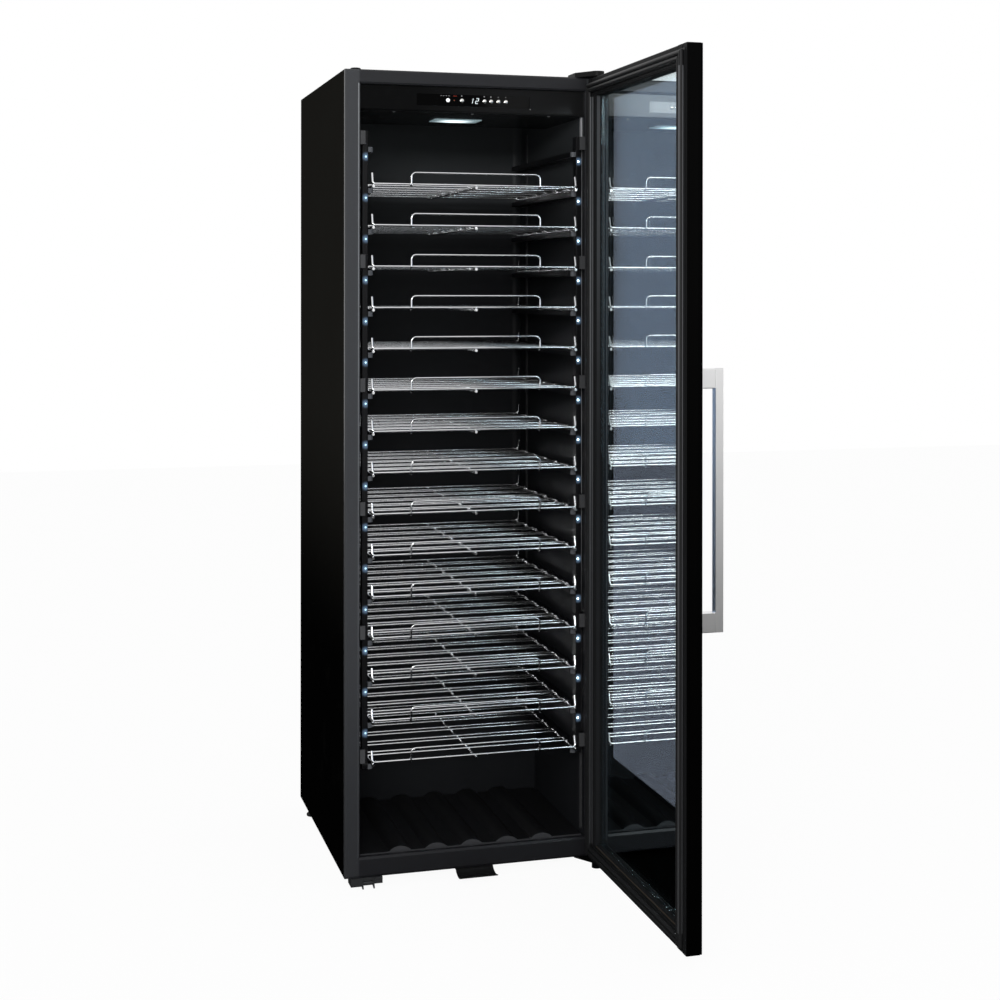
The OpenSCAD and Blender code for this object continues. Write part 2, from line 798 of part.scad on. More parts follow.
module shelf_ledges() color("#16171a") {
    both_sides() {
        for (j = [0 : block_count - 2]) {
            ladder_post(j);
        }
        ladder_end();
        for (k = [0 : shelf_count]) {
            ledge(k);
        }
    }
}

module led_lights() color("#dff4ff") {
    both_sides() for (k = [1 : shelf_count]) {
        facing_back(post_x + led_in, post_back - led_proud, shelf_z(k) + led_rise) rotate_extrude() {
            intersection() {
                translate([0, led_r]) circle(led_r);
                square([led_r, led_r]);
            }
            translate([0, led_r]) square([led_r, 0.7]);
        }
    }
}

// ---- bottle tray

module floor_tray() color("#0f0f11") {
    tray_x = liner_x - tray_gap;
    tray_y = step_y - tray_gap;
    pitch = 2 * tray_x / (ridge_count + 1.3);
    arc_r = (ridge_w * ridge_w / 4 + ridge_h * ridge_h) / (2 * ridge_h);
    translate([-tray_x, tray_front, liner_z0]) cube([2 * tray_x, tray_y - tray_front, tray_t]);
    for (i = [0 : ridge_count - 1]) {
        along_y(tray_front, tray_y) translate([(i - (ridge_count - 1) / 2) * pitch, liner_z0 + tray_t + weld])
            intersection() {
                translate([0, ridge_h - arc_r]) circle(arc_r, $fn = 96);
                translate([-ridge_w / 2, 0]) square([ridge_w, ridge_h]);
            }
    }
}

// ---- cooling unit

module compressor() color("#17181a") {
    r = compressor_r;
    dome = 26;
    translate([compressor_x, compressor_y, shell_z + foot_plate_t + seam]) rotate_extrude() {
        translate([0, 8]) square([r, compressor_h - 8 - dome]);
        square([r - 8, 10]);
        translate([r - 8, 8]) intersection() {
            circle(8);
            translate([0, -8]) square([8, 8]);
        }
        translate([0, compressor_h - dome]) square([r - dome, dome]);
        translate([r - dome, compressor_h - dome]) intersection() {
            circle(dome);
            square([dome, dome]);
        }
        translate([0, compressor_h * 0.55]) square([r + 3, 4]);
    }
    difference() {
        translate([compressor_x, compressor_y, shell_z]) linear_extrude(foot_plate_t)
            round_rect(2 * mount_off_x + 24, 2 * mount_off_y + 24, 10);
        for (x = [-1, 1], y = [-1, 1]) {
            translate([compressor_x + x * mount_off_x, compressor_y + y * mount_off_y, shell_z - 1])
                cylinder(h = foot_plate_t + 2, r = 4.6);
        }
    }
    translate([compressor_x - r - 34, compressor_y - 28, shell_z + 45]) cube([30, 56, 62]);
}

module compressor_mounts() color("#242424") {
    for (x = [-1, 1], y = [-1, 1]) {
        translate([compressor_x + x * mount_off_x, compressor_y + y * mount_off_y, foot_h + pan_t]) rotate_extrude() polygon([
            [0, 0], [11, 0], [11, 3], [9, mount_h / 2], [11, mount_h - 2], [11, mount_h - seam], [4.4, mount_h - seam],
            [4.4, mount_h + foot_plate_t + 1], [7, mount_h + foot_plate_t + 1], [7, mount_h + foot_plate_t + 3],
            [0, mount_h + foot_plate_t + 3]
        ]);
    }
}

// wire of the condenser's grid, grown by a given clearance
module grid_wire(i, side, clear) {
    translate([
        (2 * i / (grid_count - 1) - 1) * outer_wire_x,
        tube_y + side * (tube_r + grid_d / 2 + weld),
        row_z0 - 12
    ]) cylinder(h = (row_count - 1) * row_pitch + 24, r = grid_d / 2 + clear, $fn = 24);
}

// bracket on a rib of the rear panel, with holes for the tube and the wires
module condenser_bracket(side, row) {
    z = row_z0 + row * row_pitch;
    y0 = body_d - sheet_t + rib_h + seam;
    difference() {
        translate([side * bracket_x - bracket_w / 2, y0, z - 9]) cube([bracket_w, tube_y + tube_r + 3 - y0, 18]);
        translate([-half_w, tube_y, z]) rotate([0, 90, 0]) cylinder(h = body_w, r = tube_r + seam);
        for (i = [0, grid_count - 1], s = [-1, 1]) {
            grid_wire(i, s, seam);
        }
    }
}

// tube that winds up the back, with wires on both its faces
module condenser() color("#111111") {
    for (i = [0 : row_count - 1]) {
        translate([-row_x, tube_y, row_z0 + i * row_pitch]) rotate([0, 90, 0]) cylinder(h = 2 * row_x, r = tube_r);
    }
    for (i = [0 : row_count - 2]) {
        s = i % 2 == 0 ? 1 : -1;
        translate([s * row_x, tube_y, row_z0 + (i + 0.5) * row_pitch]) rotate([90, 0, 0]) rotate([0, 0, -s * 90])
            rotate_extrude(angle = 180) translate([row_pitch / 2, 0]) circle(tube_r, $fn = 24);
    }
    for (i = [0 : grid_count - 1], s = [-1, 1]) {
        grid_wire(i, s, 0);
    }
    for (s = [-1, 1], row = [2, row_count - 3]) {
        condenser_bracket(s, row);
    }
}

module evaporation_tray() color("#1d1d1f") {
    tray_h = 20;
    wall = 2;
    w = 2 * compressor_r + 14;
    d = 2 * compressor_r - 26;
    translate([compressor_x, compressor_y, shell_z + foot_plate_t + seam + compressor_h + seam]) difference() {
        linear_extrude(tray_h) round_rect(w, d, 12);
        translate([0, 0, wall]) linear_extrude(tray_h) round_rect(w - 2 * wall, d - 2 * wall, 12 - wall);
    }
}

// bent tube through the given points, thicker at its soldered knees
module pipe(path, r) {
    for (i = [0 : len(path) - 2]) {
        rod(path[i], path[i + 1], r);
    }
    for (i = [1 : len(path) - 2]) {
        translate(path[i]) sphere(r * 1.12);
    }
}

// hot line to the condenser, return line to the drier, capillary and cold line into the foam
module refrigerant_pipes() color("#a3663a") {
    pipe_r = 3;
    low = shell_z + 22;
    side = compressor_r * 0.66;
    shell_x = compressor_x - sqrt(compressor_r * compressor_r - (side - pipe_r) * (side - pipe_r)) - seam;
    far_x = row_x + row_pitch / 2 + tube_r + pipe_r + 4;
    top = row_z0 + (row_count - 1) * row_pitch;
    drier_y = body_d - 25;
    drier_z = niche_z - 34;
    pipe([
        [shell_x, compressor_y + side, low], [shell_x - 66, compressor_y + side, low], [shell_x - 66, tube_y - 24, low],
        [-far_x, tube_y - 24, low], [-far_x, tube_y, low], [-far_x, tube_y, row_z0], [-row_x - weld, tube_y, row_z0]
    ], pipe_r);
    pipe([
        [row_x + weld, tube_y, top], [far_x, tube_y, top], [far_x, tube_y, drier_z + 18],
        [far_x, drier_y, drier_z + 18], [far_x, drier_y, drier_z - 1]
    ], pipe_r);
    translate([far_x, drier_y, drier_z - 92]) rotate_extrude() polygon([
        [0, 0], [3, 0], [9, 10], [9, 80], [3, 92], [0, 92]
    ]);
    pipe([
        [far_x, drier_y, drier_z - 91], [far_x, drier_y, drier_z - 98], [far_x, niche_y + seam, drier_z - 98]
    ], 1.5);
    pipe([
        [shell_x, compressor_y - side, low], [shell_x - 87, compressor_y - side, low],
        [shell_x - 87, compressor_y - side, niche_z - seam]
    ], pipe_r);
}

// roll-bonded plate against the liner's back, with raised channels
module evaporator() color("#c4c8cc") {
    y = liner_y + liner_t + seam;
    translate([-evaporator_w / 2, y, evaporator_z]) cube([evaporator_w, evaporator_t, evaporator_h]);
    for (i = [0 : 7]) {
        translate([(i - 3.5) * evaporator_w / 8 - 5, y, evaporator_z + 30]) cube([10, evaporator_t + channel_h, evaporator_h - 60]);
    }
}

// bracket with a gland for the mains cord
module power_inlet() color("#1a1a1a") {
    x = half_w - 70;
    z = foot_h + pan_t + 38;
    y = body_d - 16;
    difference() {
        translate([x - 22, y, foot_h + pan_t]) cube([44, 2, 62]);
        facing_back(x, y - 1, z) cylinder(h = 4, r = 8 + seam);
    }
    facing_back(x, y - 8, z) difference() {
        rotate_extrude() polygon([[0, 0], [8, 0], [8, 10 + seam], [11, 10 + seam], [10, 14], [0, 14]]);
        translate([0, 0, -1]) cylinder(h = 16, r = 4);
    }
}

// ---- hinges, feet and keeper

// hinge plate from above, round at its nose; grown inwards by a wall
module hinge_outline(wall) {
    nose = pin_inset - wall;
    x1 = half_w - wall;
    polygon([
        [x1, hinge_l - wall], [half_w - hinge_w + wall, hinge_l - wall], [half_w - hinge_w + wall, 8 + wall * 0.4],
        [hinge_x - nose * cos(45), hinge_y - nose * sin(45)], [hinge_x, hinge_y], [x1, hinge_y]
    ]);
    translate([hinge_x, hinge_y]) circle(nose);
}

module top_hinge() color("#3a3a3c") {
    pin_l = door_top_gap + bush_l - 2;
    difference() {
        translate([0, 0, top_z + seam]) linear_extrude(hinge_t - seam) hinge_outline(cover_t + 1);
        for (p = top_screws) {
            translate([p.x, p.y, top_z - 1]) cylinder(h = hinge_t + 2, r = screw_r + seam);
        }
    }
    translate([hinge_x, hinge_y, top_z - pin_l]) cylinder(h = pin_l + 1, r = pin_r);
}

module top_hinge_cover() color("#0d0d0e") {
    difference() {
        translate([0, 0, top_z + seam]) linear_extrude(cover_h - seam) hinge_outline(0);
        translate([0, 0, top_z - 1]) linear_extrude(cover_h - cover_t + 1) hinge_outline(cover_t);
    }
}

module bottom_hinge() color("#151516") {
    pin_l = door_bottom_gap + bush_l - 2;
    difference() {
        translate([0, 0, foot_h - hinge_t]) linear_extrude(hinge_t - seam) hinge_outline(1);
        for (p = bottom_screws) {
            translate([p.x, p.y, foot_h - hinge_t - 1]) cylinder(h = hinge_t + 2, r = screw_r + seam);
        }
    }
    translate([hinge_x, hinge_y, foot_h - 1]) cylinder(h = pin_l + 1, r = pin_r);
    translate([hinge_x, hinge_y, foot_h - hinge_t - boss_h]) cylinder(h = boss_h + 1, r = boss_r);
}

module hole_cap() color("#0d0d0e") {
    translate([cap_pos.x, cap_pos.y, top_z + seam]) rotate_extrude() polygon([
        [0, -sheet_t - 3], [5, -sheet_t - 3], [5, 0], [cap_r, 0], [cap_r, cap_h * 0.5],
        [cap_r - 0.5, cap_h * 0.75], [cap_r - 1.5, cap_h * 0.93], [cap_r - 3.5, cap_h], [0, cap_h]
    ]);
}

// moulded block under the left front corner, with a roller between two prongs
module front_foot_block() color("#141416") {
    x0 = -half_w + 14;
    x1 = x0 + foot_block_w;
    z1 = foot_h - seam;
    prong = [x0 + 26, x0 + 51];
    along_x(x0, prong[0]) {
        translate([-3, 9]) square([38, z1 - 9]);
        translate([0, 6]) square([32, 5]);
        translate([0, 9]) circle(3);
        translate([32, 9]) circle(3);
    }
    along_x(prong[1], x1) {
        translate([-3, 13]) square([38, z1 - 13]);
        translate([0, 10]) square([32, 4]);
        translate([0, 13]) circle(3);
        translate([32, 13]) circle(3);
    }
    along_x(prong[0] - 1, prong[1] + 1) {
        translate([-1, 18]) square([36, z1 - 18]);
        translate([20, 8]) square([15, z1 - 8]);
    }
    for (x = prong) {
        along_x(x - 1.5, x + 1.5) polygon([[-4, z1], [-4, 10], [-9, 2.5], [-5, 2.5], [12, 9], [24, 9], [24, z1]]);
    }
    translate([prong[0], 3, 12]) rotate([0, 90, 0]) cylinder(h = prong[1] - prong[0], r = 5);
}

// levelling foot: rubber-edged disc on a threaded stem
module levelling_foot(x, y) {
    h = foot_h - seam;
    translate([x, y, 0]) rotate_extrude() polygon([
        [0, 0], [foot_r - 1.5, 0], [foot_r, 1.5], [foot_r, 5], [foot_r - 3, 8], [9, 8], [9, 12], [5, 12], [5, h], [0, h]
    ]);
}

foot_spots = [
    [-half_w + foot_in, front_foot_y], [half_w - foot_in, front_foot_y],
    [-half_w + foot_r + 3, body_d - rear_foot], [half_w - foot_r - 3, body_d - rear_foot]
];

module feet() color("#101010") {
    for (p = foot_spots) {
        levelling_foot(p.x, p.y);
    }
}

// scooped lip under the front edge that the door's lock engages
module lock_keeper() color("#141415") {
    scoop_r = 42;
    scoop_y = -keeper_reach * 0.57;
    z1 = foot_h - seam;
    scoop_z = z1 - keeper_t + sqrt(scoop_r * scoop_r - scoop_y * scoop_y);
    along_x(-keeper_w / 2, keeper_w / 2) {
        translate([0, z1 - keeper_t]) square([32, keeper_t]);
        intersection() {
            translate([scoop_y, scoop_z]) difference() {
                circle(scoop_r + keeper_t, $fn = 96);
                circle(scoop_r, $fn = 96);
            }
            translate([-keeper_reach, 5]) square([keeper_reach + 0.5, z1 - 5]);
        }
    }
}

// ---- door

// turns what is drawn on the closed door to its open place
module on_door() {
    translate([hinge_x, hinge_y, 0]) rotate([0, 0, open_angle]) translate([-hinge_x, -hinge_y, 0]) children();
}

groove_u = gasket_inset + gasket_w / 2;
groove_w = 3.4;
groove_d = 3.2;

// outline of a door bar: the way in from the door's edge, then the depth from the inner face
module door_bar_outline(w) {
    difference() {
        polygon([
            [0, 1.5], [1.5, 0], [w - 2, 0], [w, 2], [w, door_frame_d - seam], [0, door_frame_d - seam]
        ]);
        translate([groove_u - groove_w / 2, -1]) square([groove_w, groove_d + 1]);
    }
}

// upright bar, with the cross gaskets' grooves running into its own
module door_stile(side) {
    x0 = half_w - door_stile_w - 1;
    x1 = half_w - groove_u + groove_w / 2;
    difference() {
        translate([side * half_w, door_in, door_z0]) linear_extrude(door_z1 - door_z0)
            mirror([side > 0 ? 1 : 0, 0]) mirror([0, 1]) door_bar_outline(door_stile_w);
        for (z = [door_z0 + groove_u, door_z1 - groove_u]) {
            translate([side > 0 ? x0 : -x1, door_in - groove_d, z - groove_w / 2]) cube([x1 - x0, groove_d + 1, groove_w]);
        }
    }
}

module door_rail(edge, dir) {
    x = half_w - door_stile_w - seam;
    along_x(-x, x) translate([door_in, edge]) mirror([1, 0]) scale_flip(dir) rotate(90) mirror([0, 1])
        door_bar_outline(door_rail_h);
}

module door_frame() color("#2a2b2d") on_door() {
    difference() {
        door_stile(1);
        for (z = [door_z0 - 1, door_z1 - bush_l - seam]) {
            translate([hinge_x, hinge_y, z]) cylinder(h = bush_l + 1 + seam, r = bush_r + weld);
        }
    }
    difference() {
        door_stile(-1);
        handle_holes(door_in - 12, door_mid - 1);
    }
    door_rail(door_z1, -1);
    door_rail(door_z0, 1);
}

// bolt holes from one depth to another
module handle_holes(y1, y0) {
    for (z = bolt_spots) {
        facing_back(handle_x, y0, z) cylinder(h = y1 - y0, r = bolt_r + seam);
    }
}

bolt_spots = [
    handle_z0 + handle_post_h / 2 - bolt_off, handle_z0 + handle_post_h / 2 + bolt_off,
    handle_z1 - handle_post_h / 2 - bolt_off, handle_z1 - handle_post_h / 2 + bolt_off
];

module outer_glass() color("#20242a") on_door() {
    difference() {
        along_y(door_out, door_mid) translate([0, (door_z0 + door_z1) / 2]) round_rect(body_w, door_z1 - door_z0, 2);
        handle_holes(door_mid + 1, door_out - 1);
    }
}

module inner_glass() color("#7f8fa8") on_door() {
    translate([-pane_x, pane_y - glass_t, pane_z0]) cube([2 * pane_x, glass_t, pane_z1 - pane_z0]);
}

module glass_spacer() color("#6f7276") on_door() {
    x1 = pane_x - 1.5;
    x0 = x1 - spacer_w;
    z0 = pane_z0 + 1.5;
    z1 = pane_z1 - 1.5;
    y0 = door_mid + seam;
    depth = pane_y - glass_t - seam - y0;
    for (s = [-1, 1]) {
        translate([s > 0 ? x0 : -x1, y0, z0]) cube([spacer_w, depth, z1 - z0]);
    }
    for (z = [z0, z1 - spacer_w]) {
        translate([-x0 + seam, y0, z]) cube([2 * (x0 - seam), depth, spacer_w]);
    }
}

// outline of the gasket: two hollow lobes on a strip, with a dart in the bar's groove
module gasket_outline() {
    difference() {
        union() {
            translate([gasket_inset, seam]) square([gasket_w, strip_h]);
            translate([groove_u - groove_w / 2 + 2 * seam, 2 * seam - groove_d]) square([groove_w - 4 * seam, groove_d + 1]);
            for (u = lobes) {
                translate([u, gasket_h - lobe_r]) circle(lobe_r);
            }
        }
        for (u = lobes) {
            translate([u, gasket_h - lobe_r]) circle(lobe_r - lobe_wall);
        }
    }
}

// gasket run along one upright edge, mitred at both ends
module gasket_upright() {
    inner = gasket_inset + gasket_w;
    intersection() {
        translate([half_w, door_in, door_z0]) linear_extrude(door_z1 - door_z0) mirror([1, 0]) gasket_outline();
        along_y(door_in - 8, 1) polygon([
            [half_w, door_z0 + seam], [half_w, door_z1 - seam],
            [half_w - inner - 2, door_z1 - inner - 2 - seam], [half_w - inner - 2, door_z0 + inner + 2 + seam]
        ]);
    }
}

module gasket_cross(edge, dir) {
    inner = gasket_inset + gasket_w;
    intersection() {
        along_x(-half_w, half_w) translate([door_in, edge]) scale_flip(dir) mirror([1, 0]) rotate(90) gasket_outline();
        along_y(door_in - 8, 1) polygon([
            [-half_w, edge], [half_w, edge],
            [half_w - inner - 2, edge + dir * (inner + 2)], [-half_w + inner + 2, edge + dir * (inner + 2)]
        ]);
    }
}

module door_gasket() color("#17181a") on_door() {
    both_sides() gasket_upright();
    gasket_cross(door_z1, -1);
    gasket_cross(door_z0, 1);
}

module handle_bar() color("#d3d4d6") on_door() {
    translate([handle_x, door_out - handle_gap - handle_t / 2, handle_z0]) linear_extrude(handle_l)
        round_rect(handle_w, handle_t, handle_r);
}

module handle_posts() color("#c9cacc") on_door() {
    post_l = handle_gap - joint_line - seam;
    difference() {
        for (z = [handle_z0, handle_z1 - handle_post_h]) {
            along_y(door_out - handle_gap + joint_line, door_out - seam) translate([handle_x, z + handle_post_h / 2])
                round_rect(handle_w, handle_post_h, handle_r);
        }
        handle_holes(door_out + 1, door_out - post_l * 0.6);
    }
}

module handle_bolts() color("#9a9c9f") on_door() {
    for (z = bolt_spots) {
        facing_back(handle_x, door_out - handle_gap * 0.5, z) cylinder(h = handle_gap * 0.5 - door_out + door_in - 14, r = bolt_r);
    }
}

module hinge_bushes() color("#d8d4c4") on_door() {
    for (end = [[door_z0, 1], [door_z1, -1]]) {
        translate([hinge_x, hinge_y, end[0]]) mirror([0, 0, end[1] < 0 ? 1 : 0]) difference() {
            union() {
                cylinder(h = bush_l, r = bush_r);
                translate([0, 0, -bush_lip_t]) cylinder(h = bush_lip_t - weld, r = bush_r + 2);
                translate([0, 0, -1]) cylinder(h = 2, r = bush_r);
            }
            translate([0, 0, -bush_lip_t - 1]) cylinder(h = bush_l + bush_lip_t + 2, r = pin_r + pin_clearance);
        }
    }
}

// ---- shelves

// turned-up end of a cross wire: bend and leg
module wire_end() {
    translate([weld, 0, bend_r]) {
        rotate([90, 0, 0]) rotate([0, 0, -90]) rotate_extrude(angle = 90) translate([bend_r, 0]) circle(wire_r, $fn = 24);
        translate([bend_r, 0, 0]) cylinder(h = end_h - bend_r, r = wire_r, $fn = 24);
    }
}

// one end of the bottle guard: corner, leg and the hook round the front wire
module guard_end() {
    r = guard_d / 2;
    hook_r = wire_r + r + weld;
    translate([guard_w / 2 - guard_r + weld, -hook_r, guard_h - guard_r]) {
        rotate([90, 0, 0]) rotate_extrude(angle = 90) translate([guard_r, 0]) circle(r, $fn = 24);
        translate([guard_r, 0, guard_r - guard_h]) cylinder(h = guard_h - guard_r, r = r, $fn = 24);
    }
    translate([guard_w / 2 + weld, 0, 0]) rotate([90, 0, 90]) rotate([0, 0, 180]) rotate_extrude(angle = 180)
        translate([hook_r, 0]) circle(r, $fn = 24);
    translate([guard_w / 2 + weld, hook_r, 0]) cylinder(h = 3, r = r, $fn = 24);
}

module shelf(k) color("#c8cacd") translate([0, -shelf_proud, shelf_z(k)]) {
    straight = shelf_x - bend_r;
    side_x = ladder_x - ledge_w + runner_r + 1.5;
    for (y = cross_wires) {
        turned = y == 0 || y == shelf_l;
        reach = turned ? straight : shelf_x;
        translate([-reach, y, 0]) rotate([0, 90, 0]) cylinder(h = 2 * reach, r = wire_r, $fn = 24);
        if (turned) {
            both_sides() translate([straight, y, 0]) rotate([y == 0 ? -end_lean : end_lean, 0, 0]) wire_end();
        }
    }
    for (x = [-side_x, 0, side_x]) {
        facing_back(x, -runner_over, -wire_r - weld - runner_r) cylinder(h = shelf_l + 2 * runner_over, r = runner_r, $fn = 24);
    }
    translate([-guard_w / 2 + guard_r, -wire_r - guard_d / 2 - weld, guard_h]) rotate([0, 90, 0])
        cylinder(h = guard_w - 2 * guard_r, r = guard_d / 2, $fn = 24);
    both_sides() guard_end();
}

outer_panels();
rear_panel();
base_pan();
inner_liner();
insulation_panels();
front_frame();
control_housing();
control_window();
display_board();
ceiling_lamp();
screws();
side_rails();
rail_blocks();
shelf_ledges();
led_lights();
floor_tray();
compressor();
compressor_mounts();
condenser();
evaporation_tray();
refrigerant_pipes();
evaporator();
power_inlet();
top_hinge();
top_hinge_cover();
bottom_hinge();
hole_cap();
front_foot_block();
feet();
lock_keeper();
door_frame();
outer_glass();
inner_glass();
glass_spacer();
door_gasket();
handle_bar();
handle_posts();
handle_bolts();
hinge_bushes();
push_button(0);  // power_button
push_button(1);  // set_button
push_button(2);  // light_button
push_button(3);  // unit_button
push_button(4);  // up_button
push_button(5);  // down_button
shelf(1);  // shelf_1
shelf(2);  // shelf_2
shelf(3);  // shelf_3
shelf(4);  // shelf_4
shelf(5);  // shelf_5
shelf(6);  // shelf_6
shelf(7);  // shelf_7
shelf(8);  // shelf_8
shelf(9);  // shelf_9
shelf(10);  // shelf_10
shelf(11);  // shelf_11
shelf(12);  // shelf_12
shelf(13);  // shelf_13
shelf(14);  // shelf_14
shelf(15);  // shelf_15
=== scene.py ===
# Looks of the full-height wine cooler: finishes, panel lights, small trim and the studio
import bmesh
import bpy
import math
from mathutils import Matrix, Vector


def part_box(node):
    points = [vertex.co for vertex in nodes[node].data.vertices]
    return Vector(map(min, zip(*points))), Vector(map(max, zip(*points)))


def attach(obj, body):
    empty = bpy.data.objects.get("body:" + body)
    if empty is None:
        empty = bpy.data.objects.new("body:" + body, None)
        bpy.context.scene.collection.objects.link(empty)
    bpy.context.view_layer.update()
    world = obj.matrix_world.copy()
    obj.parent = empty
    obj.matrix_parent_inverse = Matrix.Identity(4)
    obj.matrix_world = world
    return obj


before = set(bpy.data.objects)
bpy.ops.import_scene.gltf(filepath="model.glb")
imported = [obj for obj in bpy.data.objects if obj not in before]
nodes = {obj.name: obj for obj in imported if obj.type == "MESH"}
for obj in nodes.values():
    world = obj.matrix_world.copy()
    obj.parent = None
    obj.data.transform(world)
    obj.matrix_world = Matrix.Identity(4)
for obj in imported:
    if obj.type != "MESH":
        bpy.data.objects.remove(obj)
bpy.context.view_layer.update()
shelfNames = [f"shelf_{k}" for k in range(1, 16)]
buttonNames = [f"{word}_button" for word in ("power", "set", "light", "unit", "up", "down")]
print("frame loaded:", len(nodes), "nodes")


def low(name):  # lowest corner of a node
    return Vector(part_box(name)[0])


def high(name):  # highest corner of a node
    return Vector(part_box(name)[1])


joinDistance = 0.00001  # corners closer than this are one corner


def islands(name):
    # lowest and highest corner of each separate solid of a node
    mesh = bmesh.new()
    mesh.from_mesh(nodes[name].data)
    bmesh.ops.remove_doubles(mesh, verts=mesh.verts, dist=joinDistance)
    seen, found = set(), []
    for start in mesh.verts:
        if start in seen:
            continue
        seen.add(start)
        heap, points = [start], []
        while heap:
            vert = heap.pop()
            points.append(vert.co.copy())
            for edge in vert.link_edges:
                other = edge.other_vert(vert)
                if other not in seen:
                    seen.add(other)
                    heap.append(other)
        found.append((Vector([min(p[i] for p in points) for i in range(3)]),
                      Vector([max(p[i] for p in points) for i in range(3)])))
    mesh.free()
    return found


class Wire:
    # a shader socket that can be added, scaled and compared in plain sums
    def __init__(self, finish, socket):
        self.finish = finish
        self.socket = socket

    def sum(self, operation, left, right):
        return self.finish.node("ShaderNodeMath", {"operation": operation}, {0: left, 1: right})

    def __add__(self, other):
        return self.sum("ADD", self, other)

    def __radd__(self, other):
        return self.sum("ADD", other, self)

    def __sub__(self, other):
        return self.sum("SUBTRACT", self, other)

    def __rsub__(self, other):
        return self.sum("SUBTRACT", other, self)

    def __mul__(self, other):
        return self.sum("MULTIPLY", self, other)

    def __rmul__(self, other):
        return self.sum("MULTIPLY", other, self)

    def __gt__(self, other):
        return self.sum("GREATER_THAN", self, other)

    def __lt__(self, other):
        return self.sum("LESS_THAN", self, other)

    def wrapped(self, pitch):  # runs from 0 to the pitch again and again
        inputs = {0: self, 1: pitch, 2: 0.0}
        return self.finish.node("ShaderNodeMath", {"operation": "WRAP"}, inputs)

    def distance(self):
        return self.finish.node("ShaderNodeMath", {"operation": "ABSOLUTE"}, {0: self})


sheenSlant = (0.058, 0.072)  # a clear coat begins to show, and shows fully, at these slants


class Finish:
    # node tree of one material, or of the world
    def __init__(self, name, among=None):
        self.material = (bpy.data.materials if among is None else among).new(name)
        self.material.use_nodes = True
        self.tree = self.material.node_tree
        self.tree.nodes.clear()
        self.coordinates = None

    def node(self, kind, settings=None, inputs=None, out=0):
        made = self.tree.nodes.new(kind)
        for key, value in (settings or {}).items():
            setattr(made, key, value)
        for key, value in (inputs or {}).items():
            if isinstance(value, Wire):
                self.tree.links.new(value.socket, made.inputs[key])
            else:
                made.inputs[key].default_value = value
        return Wire(self, made.outputs[out]) if len(made.outputs) else None

    def place(self, stretch=(1, 1, 1)):  # the object's own coordinates in metres
        if self.coordinates is None:
            self.coordinates = self.node("ShaderNodeTexCoord", out="Object")
        inputs = {0: self.coordinates, 1: stretch}
        return self.node("ShaderNodeVectorMath", {"operation": "MULTIPLY"}, inputs)

    def axis(self, letter):
        return self.node("ShaderNodeSeparateXYZ", None, {0: self.place()}, letter)

    def noise(self, size, detail=2.0, stretch=(1, 1, 1), rough=0.5):
        return self.node("ShaderNodeTexNoise", None, {
            "Vector": self.place(stretch), "Scale": 1 / size, "Detail": detail,
            "Roughness": rough})

    def steps(self, value, start, end, first=0.0, last=1.0):  # smooth rise between two levels
        return self.node("ShaderNodeMapRange", {"interpolation_type": "SMOOTHSTEP"}, {
            "Value": value, "From Min": start, "From Max": end, "To Min": first, "To Max": last})

    def blend(self, factor, first, second):  # two colours
        first, second = (c if isinstance(c, Wire) else (*c, 1) for c in (first, second))
        inputs = {0: factor, 6: first, 7: second}
        return self.node("ShaderNodeMix", {"data_type": "RGBA"}, inputs, 2)

    def mix(self, factor, first, second):  # two shaders
        return self.node("ShaderNodeMixShader", None, {0: factor, 1: first, 2: second})

    def bump(self, height, depth, strength=1.0):
        return self.node("ShaderNodeBump", None, {
            "Height": height, "Distance": depth, "Strength": strength})

    def slant(self, start, end, first, last):  # rises as a face turns away from the eye
        facing = self.node("ShaderNodeLayerWeight", out="Facing")
        return self.steps(facing, start, end, first, last)

    def sheen(self, weight, roughness):  # clear coat that shows only at a slant
        coat = self.slant(*sheenSlant, 0.0, weight)
        return {"Coat Weight": coat, "Coat Roughness": roughness}

    def show(self, shader):
        self.node("ShaderNodeOutputMaterial", None, {"Surface": shader})
        return self

    def surface(self, inputs):
        return self.show(self.node("ShaderNodeBsdfPrincipled", None, inputs))

    def on(self, *names):  # puts the finish on CAD nodes
        for name in names:
            for slot in nodes[name].material_slots:
                slot.material = self.material
        return self


grainGloss = 0.06  # how much the fine grain changes the roughness
dustLook = {"finer": 6, "detail": 5, "rough": 0.7, "range": (0.52, 0.8)}


def skin(finish, look):
    # slow change of shade, fine grain, and the roughness that follows both
    cloud, grain = finish.noise(look["cloud"], 3), finish.noise(look["grain"], 2)
    roughness = look["roughness"] + (cloud - 0.5) * look["spread"] + (grain - 0.5) * grainGloss
    return cloud, grain, roughness


def moulded(name, look):
    # moulded or coated skin with a thin dust
    finish = Finish(name)
    cloud, grain, roughness = skin(finish, look)
    specks = finish.noise(look["cloud"] / dustLook["finer"], dustLook["detail"],
                          rough=dustLook["rough"])
    dust = finish.steps(specks, *dustLook["range"])
    shade = finish.blend(cloud, look["colour"], look["second"])
    for letter, start, end, colour in look.get("fades", ()):  # this colour up to the start, the usual shade from the end; used for painted light and shade
        shade = finish.blend(finish.steps(finish.axis(letter), start, end), colour, shade)
    coat = finish.sheen(*look["sheen"]) if "sheen" in look else {}
    return finish.surface({
        "Base Color": finish.blend(dust * look["dust"], shade, look["dustColour"]),
        "Roughness": roughness, "Normal": finish.bump(grain, look["depth"]),
        "Specular IOR Level": look["gloss"], **coat})


# Cabinet shell
# the fade is painted shade: the sides darken to near black towards the bottom
cabinetCoat = {
    "colour": (0.0110, 0.0106, 0.0092), "second": (0.0135, 0.0130, 0.0115),
    "dustColour": (0.022, 0.022, 0.020), "cloud": 0.5, "grain": 0.0009, "dust": 0.08,
    "roughness": 0.70, "spread": 0.10, "depth": 0.00003, "gloss": 0.0,
    "fades": [("Z", 0.45, 1.10, (0.0008, 0.0008, 0.0008))]}
moulded("cabinetCoat", cabinetCoat).on("outer_panels", "base_pan")

